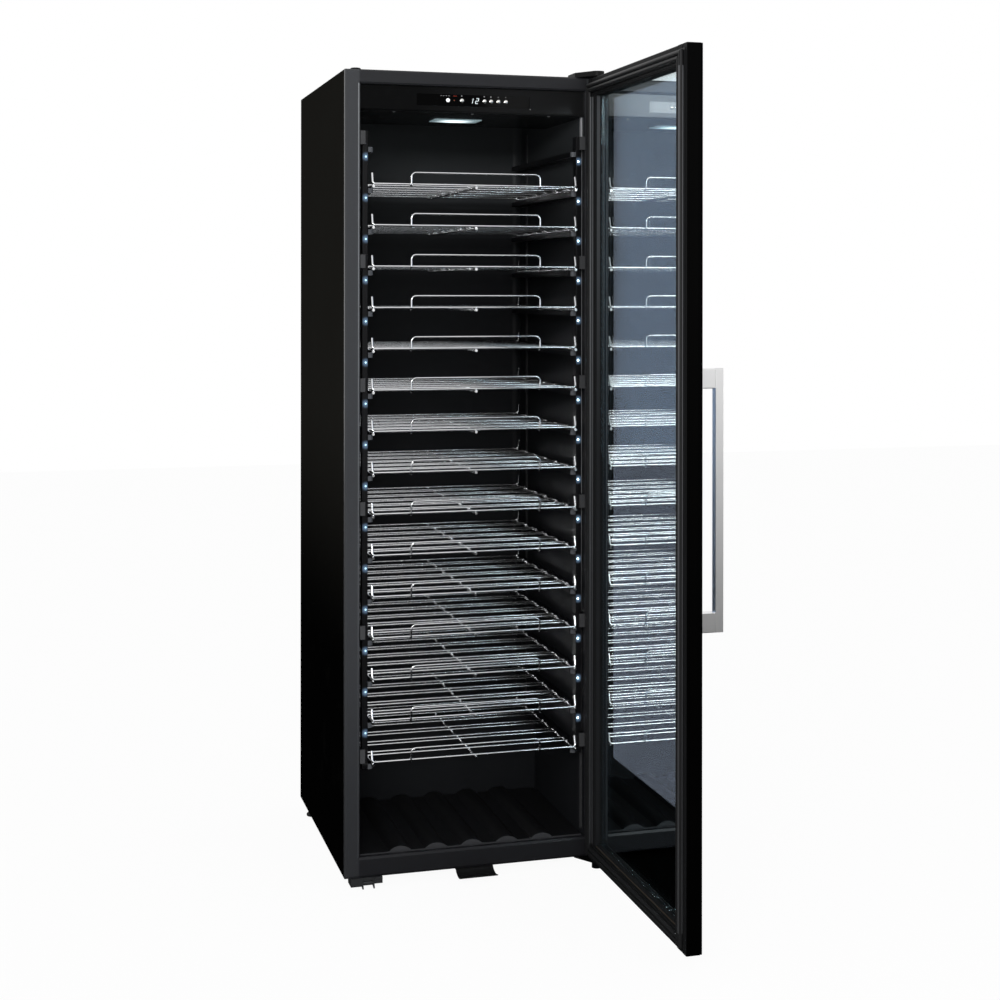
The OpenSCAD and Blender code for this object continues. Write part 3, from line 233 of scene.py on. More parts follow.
rearCoat = {
    **cabinetCoat, "colour": (0.008, 0.008, 0.008), "second": (0.011, 0.011, 0.011),
    "gloss": 0.12, "roughness": 0.5, "fades": [("Z", -0.4, 0.3, (0.005, 0.005, 0.005))]}
moulded("rearCoat", rearCoat).on("rear_panel")

# low, set by barShadow and postShadow, is painted shade; edge is a painted highlight along the
# opening
frameLacquer = {
    "colour": (0.040, 0.042, 0.046), "fleck": (0.090, 0.093, 0.100), "fleckSize": 0.0006,
    "fleckRange": (0.55, 0.75), "fleckShare": 0.45, "cloud": 0.35, "cloudShare": 0.10,
    "low": (0.010, 0.010, 0.012), "barShadow": (0.2, 1.6, 0.9, 0.72),
    "postShadow": (0.0, 0.7, 0.45, 0.0), "blur": 0.002,
    "edge": (0.24, 0.25, 0.26), "edgeAcross": (-0.2, 0.2, 1.0, 0.25),
    "edgeDown": (0.2, 1.8, 0.12, 1.0), "edgeWidth": 0.0030, "edgeBottom": 0.071,
    "inset": 0.0015, "topInset": 0.001, "roughness": 0.42, "spread": 0.10, "fleckGloss": 0.08,
    "grain": 0.0012, "depth": 0.00002, "metal": 0.1, "gloss": 0.15, "sheen": (0.16, 0.34)}


def makeFrameLacquer(look):
    # dark lacquer with a fine metallic fleck, painted shade on the bars and lower posts, and a
    # painted highlight along the opening's edge
    finish = Finish("frameLacquer")
    fleck = finish.steps(finish.noise(look["fleckSize"], 1), *look["fleckRange"])
    cloud = finish.noise(look["cloud"], 2)
    openX = high("inner_liner").x - look["inset"]
    openTop = high("control_housing").z - look["topInset"]
    x, z = finish.axis("X"), finish.axis("Z")
    paint = finish.blend(fleck * look["fleckShare"] + cloud * look["cloudShare"],
                         look["colour"], look["fleck"])
    posts = finish.steps(x.distance(), openX - look["blur"], openX + look["blur"])
    shadow = ((1 - posts) * finish.steps(z, *look["barShadow"])
              + posts * finish.steps(z, *look["postShadow"]))
    paint = finish.blend(shadow, paint, look["low"])
    # painted highlight along the opening's edge, fading downwards
    edge = ((x.distance() < openX + look["edgeWidth"]) * (z < openTop)
            * (z > look["edgeBottom"]) * finish.steps(x, *look["edgeAcross"]))
    edge = edge * posts * finish.steps(z, *look["edgeDown"])
    return finish.surface({
        "Base Color": finish.blend(edge, paint, look["edge"]),
        "Roughness": (look["roughness"] + (cloud - 0.5) * look["spread"]
                      - fleck * look["fleckGloss"]),
        "Normal": finish.bump(finish.noise(look["grain"], 2), look["depth"]),
        "Metallic": look["metal"], "Specular IOR Level": look["gloss"],
        **finish.sheen(*look["sheen"])})


makeFrameLacquer(frameLacquer).on("front_frame")

foamLook = {"colour": (0.80, 0.70, 0.42), "cell": (0.62, 0.52, 0.28), "cellSize": 0.0035,
            "roughness": 0.92, "spread": 0.1, "depth": 0.0004, "gloss": 0.2}


def makeFoam(look):
    finish = Finish("creamFoam")
    cells = finish.node("ShaderNodeTexVoronoi", None, {
        "Vector": finish.place(), "Scale": 1 / look["cellSize"]})
    return finish.surface({
        "Base Color": finish.blend(cells, look["colour"], look["cell"]),
        "Roughness": look["roughness"] - cells * look["spread"],
        "Normal": finish.bump(cells, look["depth"]), "Specular IOR Level": look["gloss"]})


makeFoam(foamLook).on("insulation_panels")

# the fade is painted light: the liner is lighter towards the top, below the ceiling lamp
linerPlastic = {
    "colour": (0.011, 0.012, 0.014), "second": (0.016, 0.017, 0.019),
    "dustColour": (0.030, 0.031, 0.033), "cloud": 0.30, "grain": 0.0016, "dust": 0.2,
    "roughness": 0.42, "spread": 0.12, "depth": 0.00005, "gloss": 0.10,
    "fades": [("Z", 1.70, 1.42, (0.044, 0.048, 0.051))]}
moulded("linerPlastic", linerPlastic).on("inner_liner")

trayPlastic = {
    **linerPlastic, "fades": [], "colour": (0.0050, 0.0050, 0.0056),
    "second": (0.0072, 0.0072, 0.0080), "grain": 0.0008, "roughness": 0.40, "gloss": 0.30}
moulded("trayPlastic", trayPlastic).on("evaporation_tray")

# painted highlight: the front ends of the tray's ridges, and what lies in front of them, are
# lighter
ridgeLook = {"widest": 0.1, "frontEdge": (0.0005, 0.0045), "colour": (0.050, 0.051, 0.055)}
ridgeFront = min(lowest.y for lowest, highest in islands("floor_tray")
                 if highest.x - lowest.x < ridgeLook["widest"])
ridgeHighlight = ("Y", *(ridgeFront + reach for reach in ridgeLook["frontEdge"]), ridgeLook["colour"])
moulded("ridgedTray", {**trayPlastic, "fades": [ridgeHighlight]}).on("floor_tray")
print("cabinet finishes done")

# Control panel
# the fade is painted shade: the housing darkens towards its left end
housingPlastic = {
    "colour": (0.0090, 0.0092, 0.0096), "second": (0.0115, 0.0117, 0.0120),
    "dustColour": (0.02, 0.02, 0.02), "cloud": 0.25, "grain": 0.0007, "dust": 0.12,
    "roughness": 0.26, "spread": 0.06, "depth": 0.00002, "gloss": 0.04,
    "fades": [("X", -0.16, 0.10, (0.0022, 0.0023, 0.0025))], "sheen": (0.25, 0.20)}
moulded("housingPlastic", housingPlastic).on("control_housing")

windowGloss = {
    "colour": (0.0004, 0.0004, 0.0005), "matt": (0.0095, 0.0095, 0.0095),
    "mattRange": (0.005, 0.060), "mattRoughness": 0.25, "seam": 0.0012, "roughness": 0.12,
    "smear": 0.14, "smearSize": 0.012, "smearStretch": (1, 1, 3), "smearRange": (0.45, 0.75),
    "gloss": 0.03, "sheen": (0.45, 0.08)}


def makeWindow(look):
    # glossy black at the left, printed matt towards the right end
    finish = Finish("smokedWindow")
    left, right = low("control_window").x, high("control_window").x
    fromMiddle = (finish.axis("X") - (left + right) / 2).distance()
    seam = fromMiddle > (right - left) / 2 - look["seam"]
    matt = finish.steps(finish.axis("X"), *look["mattRange"]) * (1 - seam)
    smear = finish.noise(look["smearSize"], 4, look["smearStretch"])
    smear = finish.steps(smear, *look["smearRange"])
    return finish.surface({
        "Base Color": finish.blend(matt, look["colour"], look["matt"]),
        "Roughness": look["roughness"] + smear * look["smear"] + matt * look["mattRoughness"],
        "Specular IOR Level": look["gloss"], **finish.sheen(*look["sheen"])})


makeWindow(windowGloss).on("control_window")

boardLook = {"mask": (0.010, 0.080, 0.030), "track": (0.030, 0.16, 0.06), "pitch": 0.004,
             "width": 0.0012, "roughness": 0.35, "spread": 0.15, "depth": 0.00006}


def makeBoard(look):
    finish = Finish("circuitBoard")
    track = finish.axis("Z").wrapped(look["pitch"]) < look["width"]
    return finish.surface({
        "Base Color": finish.blend(track, look["mask"], look["track"]),
        "Roughness": look["roughness"] + track * look["spread"],
        "Normal": finish.bump(track, look["depth"])})


makeBoard(boardLook).on("display_board")

glowLook = {"ridge": 0.002, "lift": 1.3, "fade": (-0.1, 0.1), "roughness": 0.2, "spread": 0.1,
            "depth": 0.0003}


def glowing(name, colour, strength, left=1.0):
    # lit mark or lens; the left ones of a row may be dimmer
    finish = Finish(name)
    ridge = finish.noise(glowLook["ridge"], 1)
    shade = finish.blend(ridge, colour, tuple(min(1.0, c * glowLook["lift"]) for c in colour))
    lit = shade
    if left < 1.0:
        across = finish.steps(finish.axis("X"), *glowLook["fade"])
        lit = finish.blend(across, tuple(c * left for c in colour), shade)
    return finish.surface({
        "Base Color": shade, "Roughness": glowLook["roughness"] + ridge * glowLook["spread"],
        "Emission Color": lit, "Emission Strength": strength,
        "Normal": finish.bump(ridge, glowLook["depth"])})


lampLook = {"colour": (0.80, 0.97, 1.0), "dim": (0.07, 0.10, 0.11), "strength": 1.6,
            "rib": 0.004, "lit": (0.006, 0.052), "near": 0.156, "nearFade": 0.012,
            "roughness": 0.25, "spread": 0.1, "depth": 0.0003}


def makeLampLens(look):
    # ribbed lens, lit in its middle and dim towards both ends and the near edge
    finish = Finish("lampLens")
    x = finish.axis("X")
    rib = (x.wrapped(look["rib"]) - look["rib"] / 2).distance() * (2 / look["rib"])
    ends = finish.steps(x.distance(), *look["lit"])
    near = finish.steps(finish.axis("Y"), look["near"] + look["nearFade"], look["near"])
    dim = 1 - (1 - ends) * (1 - near)
    return finish.surface({
        "Base Color": finish.blend(rib, look["dim"], look["colour"]),
        "Roughness": look["roughness"] + rib * look["spread"],
        "Emission Color": finish.blend(dim, look["colour"], look["dim"]),
        "Emission Strength": look["strength"], "Normal": finish.bump(rib, look["depth"])})


makeLampLens(lampLook).on("ceiling_lamp")
ledLook = {"colour": (0.50, 0.80, 1.0), "strength": 9.0, "left": 0.10}
glowing("ledLens", ledLook["colour"], ledLook["strength"], ledLook["left"]).on("led_lights")


lineLook = {"detail": 3, "rough": 0.6, "strength": 0.4}


def metal(name, look):
    # bare or plated metal; its lines run along the axis with the smallest brush number
    finish = Finish(name)
    line = finish.noise(look["line"], lineLook["detail"], look["brush"], lineLook["rough"])
    cloud = finish.noise(look["cloud"], 3)
    strength = look.get("strength", lineLook["strength"])
    return finish.surface({
        "Base Color": finish.blend(cloud * 0.5 + line * 0.5, look["colour"], look["second"]),
        "Roughness": look["roughness"] + (line - 0.5) * look["spread"],
        "Metallic": 1.0, "Normal": finish.bump(line, look["depth"], strength)})


buttonChrome = {
    "colour": (0.62, 0.61, 0.58), "second": (0.86, 0.85, 0.82), "line": 0.002,
    "brush": (1, 1, 1), "cloud": 0.004, "roughness": 0.22, "spread": 0.08, "depth": 0.00002}
metal("buttonChrome", buttonChrome).on(*buttonNames[1:])
litButton = {"colour": (0.62, 0.63, 0.65), "strength": 0.8}
glowing("litButton", litButton["colour"], litButton["strength"]).on(buttonNames[0])

screwSteel = {
    "colour": (0.20, 0.20, 0.205), "second": (0.42, 0.42, 0.43), "line": 0.0006,
    "brush": (1, 1, 1), "cloud": 0.003, "roughness": 0.38, "spread": 0.2, "depth": 0.00003}
metal("screwSteel", screwSteel).on("screws", "handle_bolts")
print("control panel finishes done")

# Shelf supports and shelves
# the fades are painted shade: the rails darken towards the bottom and towards the back
railPlastic = {
    "colour": (0.40, 0.41, 0.43), "second": (0.50, 0.51, 0.53),
    "dustColour": (0.55, 0.55, 0.57), "cloud": 0.08, "grain": 0.0006, "dust": 0.15,
    "roughness": 0.45, "spread": 0.1, "depth": 0.00003, "gloss": 0.5,
    "fades": [("Z", 0.5, 0.9, (0.045, 0.045, 0.047)), ("Y", 0.3, 0.1, (0.03, 0.03, 0.032))]}
moulded("railPlastic", railPlastic).on("side_rails")

# the fade is painted shade: the blocks are dark behind their front face
blockPlastic = {
    **railPlastic, "colour": (0.048, 0.049, 0.051), "second": (0.060, 0.061, 0.064),
    "dustColour": (0.07, 0.07, 0.075), "roughness": 0.55, "gloss": 0.12,
    "fades": [("Y", 0.0088, 0.0084, (0.006, 0.006, 0.007))]}
moulded("blockPlastic", blockPlastic).on("rail_blocks")

ledgePlastic = {
    "colour": (0.0045, 0.0046, 0.0052), "second": (0.0075, 0.0078, 0.0088),
    "dustColour": (0.025, 0.026, 0.028), "cloud": 0.10, "grain": 0.0011, "dust": 0.2,
    "roughness": 0.30, "spread": 0.12, "depth": 0.00004, "gloss": 0.12}
ladderLook = {
    **ledgePlastic, "glow": (0.12, 0.19, 0.29), "spill": (0.0120, 0.0015),
    "spillDepth": 0.0110, "spillBottom": 0.03, "tip": (0.085, 0.090, 0.098), "tipX": 0.2436,
    "tipY": 0.0165}


def makeLadderPlastic(look):
    # black moulding: each light spills over the post, and the ledges' front ends catch it
    finish = Finish("ladderPlastic")
    cloud, grain, roughness = skin(finish, look)
    x, y, z = finish.axis("X"), finish.axis("Y"), finish.axis("Z")
    boxes = islands("led_lights")
    lightX = abs((boxes[0][0].x + boxes[0][1].x) / 2)
    heights = sorted({round((lowest.z + highest.z) / 2, 4) for lowest, highest in boxes})
    pitch = (heights[-1] - heights[0]) / (len(heights) - 1)
    up = (z - (heights[0] - pitch / 2)).wrapped(pitch) - pitch / 2
    away = finish.node("ShaderNodeCombineXYZ", None, {0: x.distance() - lightX, 1: up})
    away = finish.node("ShaderNodeVectorMath", {"operation": "LENGTH"}, {0: away}, "Value")
    front = (y < look["spillDepth"]) * (z > heights[0] - look["spillBottom"])
    spill = finish.steps(away, *look["spill"]) * front
    tips = (x.distance() < look["tipX"]) * (y < look["tipY"])
    shade = finish.blend(cloud, look["colour"], look["second"])
    return finish.surface({
        "Base Color": finish.blend(tips, shade, look["tip"]), "Roughness": roughness,
        "Normal": finish.bump(grain, look["depth"]), "Specular IOR Level": look["gloss"],
        "Emission Color": finish.blend(spill, (0, 0, 0), look["glow"]),
        "Emission Strength": 1.0})


makeLadderPlastic(ladderLook).on("shelf_ledges")

wireChrome = {
    "colour": (0.66, 0.67, 0.69), "second": (0.88, 0.89, 0.90), "line": 0.0009,
    "brush": (0.15, 1, 1), "cloud": 0.02, "roughness": 0.17, "spread": 0.10,
    "depth": 0.00002}
wireFinish = metal("wireChrome", wireChrome).on(*shelfNames)
print("shelf finishes done")

# Cooling unit, hinges and feet
compressorLook = {**ledgePlastic, "gloss": 0.5, "grain": 0.0018, "cloud": 0.06, "depth": 0.00008}
moulded("compressorEnamel", compressorLook).on("compressor")
condenserLook = {**ledgePlastic, "gloss": 0.45, "colour": (0.006, 0.006, 0.006),
                 "roughness": 0.4, "grain": 0.0012}
moulded("condenserEnamel", condenserLook).on("condenser")
copperLook = {
    "colour": (0.42, 0.17, 0.08), "second": (0.72, 0.32, 0.17), "line": 0.004,
    "brush": (1, 1, 1), "cloud": 0.03, "roughness": 0.34, "spread": 0.25, "depth": 0.00004}
metal("drawnCopper", copperLook).on("refrigerant_pipes")
plateLook = {
    "colour": (0.55, 0.57, 0.59), "second": (0.68, 0.70, 0.72), "line": 0.0012,
    "brush": (1, 1, 0.05), "cloud": 0.08, "roughness": 0.40, "spread": 0.2, "depth": 0.00003}
metal("rolledPlate", plateLook).on("evaporator")
hingeLook = {
    "colour": (0.012, 0.012, 0.013), "second": (0.022, 0.022, 0.023), "line": 0.001,
    "brush": (1, 1, 1), "cloud": 0.02, "roughness": 0.42, "spread": 0.15, "depth": 0.00003}
metal("hingeSteel", hingeLook).on("top_hinge", "bottom_hinge")

trimPlastic = {
    "colour": (0.0062, 0.0062, 0.0064), "second": (0.0092, 0.0092, 0.0094),
    "dustColour": (0.03, 0.03, 0.03), "cloud": 0.05, "grain": 0.0008, "dust": 0.25,
    "roughness": 0.46, "spread": 0.1, "depth": 0.00006, "gloss": 0.10}
moulded("trimPlastic", trimPlastic).on("power_inlet", "top_hinge_cover", "hole_cap")
footBlockLook = {**trimPlastic, "colour": (0.021, 0.022, 0.023),
                 "second": (0.030, 0.031, 0.032), "gloss": 0.2}
moulded("footBlockPlastic", footBlockLook).on("front_foot_block")
footLook = {**trimPlastic, "roughness": 0.66, "grain": 0.0015, "depth": 0.0001, "gloss": 0.25}
moulded("footRubber", footLook).on("feet", "compressor_mounts")
keeperLook = {**trimPlastic, "colour": (0.0075, 0.0075, 0.008), "roughness": 0.36,
              "grain": 0.0009}
moulded("keeperEnamel", keeperLook).on("lock_keeper")
print("back and underside finishes done")

# Door; its places are those of the door as drawn, open at a right angle
# strip and lip are painted highlights, end is painted shade on the free edge
doorPlastic = {
    "colour": (0.0085, 0.0087, 0.0092), "second": (0.0120, 0.0123, 0.0130),
    "strip": (0.060, 0.062, 0.066), "stripX": (0.2690, 0.2765), "stripY": -0.0628,
    "stripWidth": 0.0008, "stripDown": (0.9, 1.7, 0.1, 1.0),
    "lip": (0.040, 0.030, 0.022), "lipY": (-0.555, -0.07), "lipZ": (0.0694, 0.0708),
    "end": (0.0001, 0.0001, 0.0001), "endY": (-0.6070, -0.6062), "cloud": 0.30,
    "grain": 0.0008, "roughness": 0.44, "spread": 0.08, "depth": 0.00004, "gloss": 0.03}


def between(value, limits):
    return (value > limits[0]) * (value < limits[1])


def makeDoorPlastic(look):
    # black moulding; a painted highlight beside the glass fades downwards, a warm painted
    # highlight lies along the bottom lip, and painted shade makes the free edge near black
    finish = Finish("doorPlastic")
    cloud, grain, roughness = skin(finish, look)
    x, y, z = finish.axis("X"), finish.axis("Y"), finish.axis("Z")
    shade = finish.blend(cloud, look["colour"], look["second"])
    # painted highlight: a pale strip beside the glass, fading downwards
    strip = ((y - look["stripY"]).distance() < look["stripWidth"]) * between(x, look["stripX"])
    strip = strip * finish.steps(z, *look["stripDown"])
    shade = finish.blend(strip, shade, look["strip"])
    # painted highlight: a warm line along the bottom lip
    shade = finish.blend(between(z, look["lipZ"]) * between(y, look["lipY"]), shade, look["lip"])
    # painted shade: the free edge is near black
    shade = finish.blend(finish.steps(y, *look["endY"]), look["end"], shade)
    return finish.surface({
        "Base Color": shade, "Roughness": roughness,
        "Normal": finish.bump(grain, look["depth"]), "Specular IOR Level": look["gloss"]})


makeDoorPlastic(doorPlastic).on("door_frame")

# a painted highlight line is its place in X, half its width, and how light it is
gasketLook = {
    "colour": (0.0085, 0.0087, 0.0092), "second": (0.012, 0.0123, 0.013),
    "ridge": (0.125, 0.129, 0.136), "grain": 0.0005, "cloud": 0.2, "roughness": 0.46,
    "spread": 0.1, "depth": 0.00004, "gloss": 0.16, "middleY": -0.30,
    "hingeLines": ((0.2595, 0.0013, 1.0), (0.2635, 0.0013, 0.8)),
    "freeLines": ((0.2612, 0.0014, 1.0), (0.2672, 0.0010, 0.4)),
    "face": (0.2550, -0.5835, 0.75), "down": (0.3, 1.5, 0.35, 1.0), "upright": (0.07, 1.77)}


def makeGasket(look):
    # soft rubber; painted highlights give its upright runs lighter lines along their folds
    finish = Finish("gasketRubber")
    cloud, grain = finish.noise(look["cloud"], 3), finish.noise(look["grain"], 2)
    x, y, z = finish.axis("X"), finish.axis("Y"), finish.axis("Z")

    def highlightLines(lines):
        return sum(((x - place).distance() < width) * much for place, width, much in lines)
    free = y < look["middleY"]
    # faceX, faceY and faceMuch add a further painted highlight on part of the free side
    faceX, faceY, faceMuch = look["face"]
    lines = highlightLines(look["hingeLines"]) * (1 - free) + highlightLines(look["freeLines"]) * free
    lines = lines + (x < faceX) * (y < faceY) * faceMuch
    lines = lines * finish.steps(z, *look["down"]) * between(z, look["upright"])
    shade = finish.blend(cloud, look["colour"], look["second"])
    return finish.surface({
        "Base Color": finish.blend(lines, shade, look["ridge"]),
        "Roughness": look["roughness"] + (cloud - 0.5) * look["spread"],
        "Normal": finish.bump(grain, look["depth"]), "Specular IOR Level": look["gloss"]})


makeGasket(gasketLook).on("door_gasket")

bushLook = {**railPlastic, "fades": [], "colour": (0.62, 0.60, 0.52),
            "second": (0.72, 0.70, 0.62), "dustColour": (0.5, 0.48, 0.4)}
moulded("bushNylon", bushLook).on("hinge_bushes")

# a pane's glare is how much it mirrors straight on, and at a slant; dull and shiny give the
# print's roughness, spread and gloss on its open side and behind the glass
clearPane = {"tint": (0.98, 0.985, 0.99), "mirror": (0.85, 0.97, 1.0), "glare": (0.06, 0.60),
             "glareSlant": (0.15, 0.66)}
tintedPane = {
    **clearPane, "tint": (0.76, 0.82, 0.92), "mirror": (0.85, 0.92, 1.0),
    "glare": (0.04, 0.12), "border": (0.0004, 0.0005, 0.0007), "hingeBorder": 0.0826,
    "freeBorder": 0.052, "topBorder": 0.030, "bottomBorder": 0.247, "grain": 0.0008,
    "faceDepth": 0.0002, "dull": (0.5, 0.1, 0.0), "shiny": (0.03, 0.02, 0.6)}


def glass(finish, look):
    clear = finish.node("ShaderNodeBsdfTransparent", None, {"Color": (*look["tint"], 1)})
    mirror = finish.node("ShaderNodeBsdfGlossy", None, {
        "Color": (*look["mirror"], 1), "Roughness": 0.0})
    return finish.mix(finish.slant(*look["glareSlant"], *look["glare"]), clear, mirror)


def makeClearPane(look):
    finish = Finish("clearPane")
    return finish.show(glass(finish, look))


def makeTintedPane(look):
    # grey-blue glass with a black printed border, deepest at the bottom
    finish = Finish("tintedPane")
    paneLow, paneHigh = low("outer_glass"), high("outer_glass")
    y, z = finish.axis("Y"), finish.axis("Z")
    clearArea = (
        between(y, (paneLow.y + look["freeBorder"], paneHigh.y - look["hingeBorder"]))
        * between(z, (paneLow.z + look["bottomBorder"], paneHigh.z - look["topBorder"])))
    grain = finish.noise(look["grain"], 2)

    def ink(roughness, spread, gloss):
        lighter = tuple(c * 2 for c in look["border"])
        return finish.node("ShaderNodeBsdfPrincipled", None, {
            "Base Color": finish.blend(grain, look["border"], lighter),
            "Roughness": roughness + grain * spread, "Specular IOR Level": gloss})
    outside = finish.axis("X") > paneHigh.x - look["faceDepth"]
    printed = finish.mix(outside, ink(*look["dull"]), ink(*look["shiny"]))
    return finish.show(finish.mix(clearArea, printed, glass(finish, look)))


makeClearPane(clearPane).on("inner_glass")
makeTintedPane(tintedPane).on("outer_glass")

spacerLook = {
    "colour": (0.030, 0.042, 0.055), "hole": (0.12, 0.16, 0.22), "holePitch": 0.0032,
    "holeSize": 0.0014, "holeShare": 0.8, "crossShare": 0.1, "bottom": 0.085,
    "bottomShade": (0.002, 0.002, 0.003), "breakSize": 1 / 900, "breakRange": (0.3, 0.5),
    "roughness": 0.45, "spread": 0.1, "metal": 0.6, "depth": 0.0002}


def makeSpacer(look):
    # dark spacer bar with one row of breathing holes along each side; its bottom bar is painted
    # darker, as shade
    finish = Finish("spacerBar")
    along = finish.axis("Z").wrapped(look["holePitch"]) < look["holeSize"]
    across = finish.axis("Y").wrapped(look["holePitch"]) < look["holeSize"]
    breaks = finish.noise(look["breakSize"], 1)
    hole = (along * finish.steps(breaks, *look["breakRange"]) * look["holeShare"]
            + across * look["crossShare"])
    shade = finish.blend(hole, look["colour"], look["hole"])
    # painted shade: the bottom bar is near black
    shade = finish.blend(finish.axis("Z") < look["bottom"], shade, look["bottomShade"])
    return finish.surface({
        "Base Color": shade, "Roughness": look["roughness"] + breaks * look["spread"],
        "Metallic": look["metal"], "Normal": finish.bump(1 - along, look["depth"])})


makeSpacer(spacerLook).on("glass_spacer")

handleSteel = {
    "colour": (0.80, 0.80, 0.80), "second": (0.90, 0.90, 0.90), "line": 0.0006,
    "brush": (1, 1, 0.012), "cloud": 0.12, "roughness": 0.34, "spread": 0.18,
    "depth": 0.00004, "strength": 0.5}
metal("brushedHandle", handleSteel).on("handle_bar", "handle_posts")
print("door finishes done")


# Pieces that the solids leave to this scene
def piece(name, mesh, finish, body):
    data = bpy.data.meshes.new(name)
    mesh.to_mesh(data)
    mesh.free()
    made = bpy.data.objects.new(name, data)
    bpy.context.scene.collection.objects.link(made)
    data.materials.append(finish.material)
    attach(made, body)
    return made


def join(mesh, first, second):  # side faces between two rings of corners
    for i in range(len(first)):
        j = (i + 1) % len(first)
        mesh.faces.new((first[i], first[j], second[j], second[i]))


plateEdge = ((0, 1.0), (0.6, 1.0), (1, 0.84))  # share of the depth, and size there


def plate(mesh, outline, y, depth):
    # flat shape in X and Z, standing out of the face at y by its depth
    middle = sum((Vector(p) for p in outline), Vector((0, 0))) / len(outline)
    rings = []
    for share, shrink in plateEdge:
        rings.append([mesh.verts.new((middle.x + (p[0] - middle.x) * shrink, y - depth * share,
                                      middle.y + (p[1] - middle.y) * shrink))
                      for p in outline])
    for first, second in zip(rings, rings[1:]):
        join(mesh, first, second)
    mesh.faces.new(rings[-1])
    mesh.faces.new(rings[0][::-1])


def bar(start, end, width):
    # six-sided outline of a stroke
    start, end = Vector(start), Vector(end)
    along = (end - start).normalized()
    side = Vector((-along.y, along.x)) * width / 2
    return [start, start + along * width / 2 + side, end - along * width / 2 + side, end,
            end - along * width / 2 - side, start + along * width / 2 - side]


def ring(centre, radius, sides=14):
    return [(centre[0] + radius * math.cos(2 * math.pi * i / sides),
             centre[1] + radius * math.sin(2 * math.pi * i / sides)) for i in range(sides)]


displayLook = {
    "text": "12", "height": 0.0114, "width": 0.0060, "stroke": 0.0010, "pitch": 0.0132,
    "lean": 0.22, "left": -0.0052, "depth": 0.00012, "colour": (0.70, 0.77, 0.83),
    "strength": 0.9}
strokes = {
    "a": ((0, 1), (1, 1)), "b": ((1, 1), (1, 0.5)), "c": ((1, 0.5), (1, 0)),
    "d": ((1, 0), (0, 0)), "e": ((0, 0), (0, 0.5)), "f": ((0, 0.5), (0, 1)),
    "g": ((0, 0.5), (1, 0.5))}
digitStrokes = ["abcdef", "bc", "abged", "abgcd", "fgbc", "afgcd", "afgedc", "abc", "abcdefg",
                "abcdfg"]
onWindow = low("control_window").y - 0.00002  # just proud of the window's face
windowZ = (low("control_window").z + high("control_window").z) / 2
digitFinish = glowing("digitGlow", displayLook["colour"], displayLook["strength"])
digits = bmesh.new()
for place, digit in enumerate(displayLook["text"]):
    for stroke in digitStrokes[int(digit)]:
        ends = []
        for across, up in strokes[stroke]:
            x = displayLook["left"] + place * displayLook["pitch"]
            x += (across - 0.5) * displayLook["width"]
            z = (up - 0.5) * displayLook["height"]
            ends.append((x + z * displayLook["lean"], windowZ + z))
        plate(digits, bar(*ends, displayLook["stroke"]), onWindow, displayLook["depth"])
piece("displayDigits", digits, digitFinish, "cabinet")

# small marks: one above each button, a row of status marks, and the warm alarm marks
markLook = {"rise": 0.0104, "shift": -0.0006, "size": 0.0015, "corners": (0, 2.1, 4.2),
            "depth": 0.0001, "colour": (0.17, 0.17, 0.175), "strength": 0.25}
alarmLook = {"colour": (0.30, 0.022, 0.005), "strength": 0.12, "dotX": -0.0455, "dot": 0.0010,
             "dotBack": 0.0002, "dotDepth": 0.0004}
dashLook = {"rise": 0.0098, "length": 0.0036, "height": 0.0011}
statusRow = {"start": -0.0780, "pitch": 0.0062, "count": 4}
alarmRow = {"start": -0.0478, "pitch": 0.0048, "count": 2}
fixingDot = {"place": (0.134, 1.744), "radius": 0.0012, "proud": 0.00002, "depth": 0.0002}


def dashes(mesh, row):
    z = windowZ + dashLook["rise"]
    for i in range(row["count"]):
        x = row["start"] + i * row["pitch"]
        outline = bar((x, z), (x + dashLook["length"], z), dashLook["height"])
        plate(mesh, outline, onWindow, markLook["depth"])


markFinish = glowing("iconPrint", markLook["colour"], markLook["strength"])
alarmFinish = glowing("alarmGlow", alarmLook["colour"], alarmLook["strength"])
marks = bmesh.new()
for name in buttonNames[1:]:
    centre = (low(name) + high(name)) / 2
    where = (centre.x + markLook["shift"], centre.z + markLook["rise"])
    outline = ring(where, markLook["size"])
    if name in ("up_button", "down_button"):  # three-cornered, up or down
        turn = 1 if name == "up_button" else -1
        outline = [(where[0] + markLook["size"] * math.sin(angle),
                    where[1] + turn * markLook["size"] * math.cos(angle))
                   for angle in markLook["corners"]]
    plate(marks, outline, onWindow, markLook["depth"])
dashes(marks, statusRow)
# the fixing dot shares the marks' glowing finish, so it glows dimly though it is no lamp: painted
# light
plate(marks, ring(fixingDot["place"], fixingDot["radius"]),
      low("control_housing").y - fixingDot["proud"], fixingDot["depth"])
piece("panelMarks", marks, markFinish, "cabinet")
alarm = bmesh.new()
dashes(alarm, alarmRow)
plate(alarm, ring((alarmLook["dotX"], windowZ), alarmLook["dot"]),
      low("control_window").y + alarmLook["dotBack"], alarmLook["dotDepth"])
piece("alarmMarks", alarm, alarmFinish, "cabinet")
print("display done")

recessLook = {
    **trimPlastic, "colour": (0.004, 0.004, 0.004), "second": (0.006, 0.006, 0.006),
    "size": 0.0015, "hingeSize": 0.0022, "arm": 0.22, "levels": ((0.00001, 1.0), (0.00006, 0.9)),
    "rearLength": 1.02, "rearRound": 0.0002}


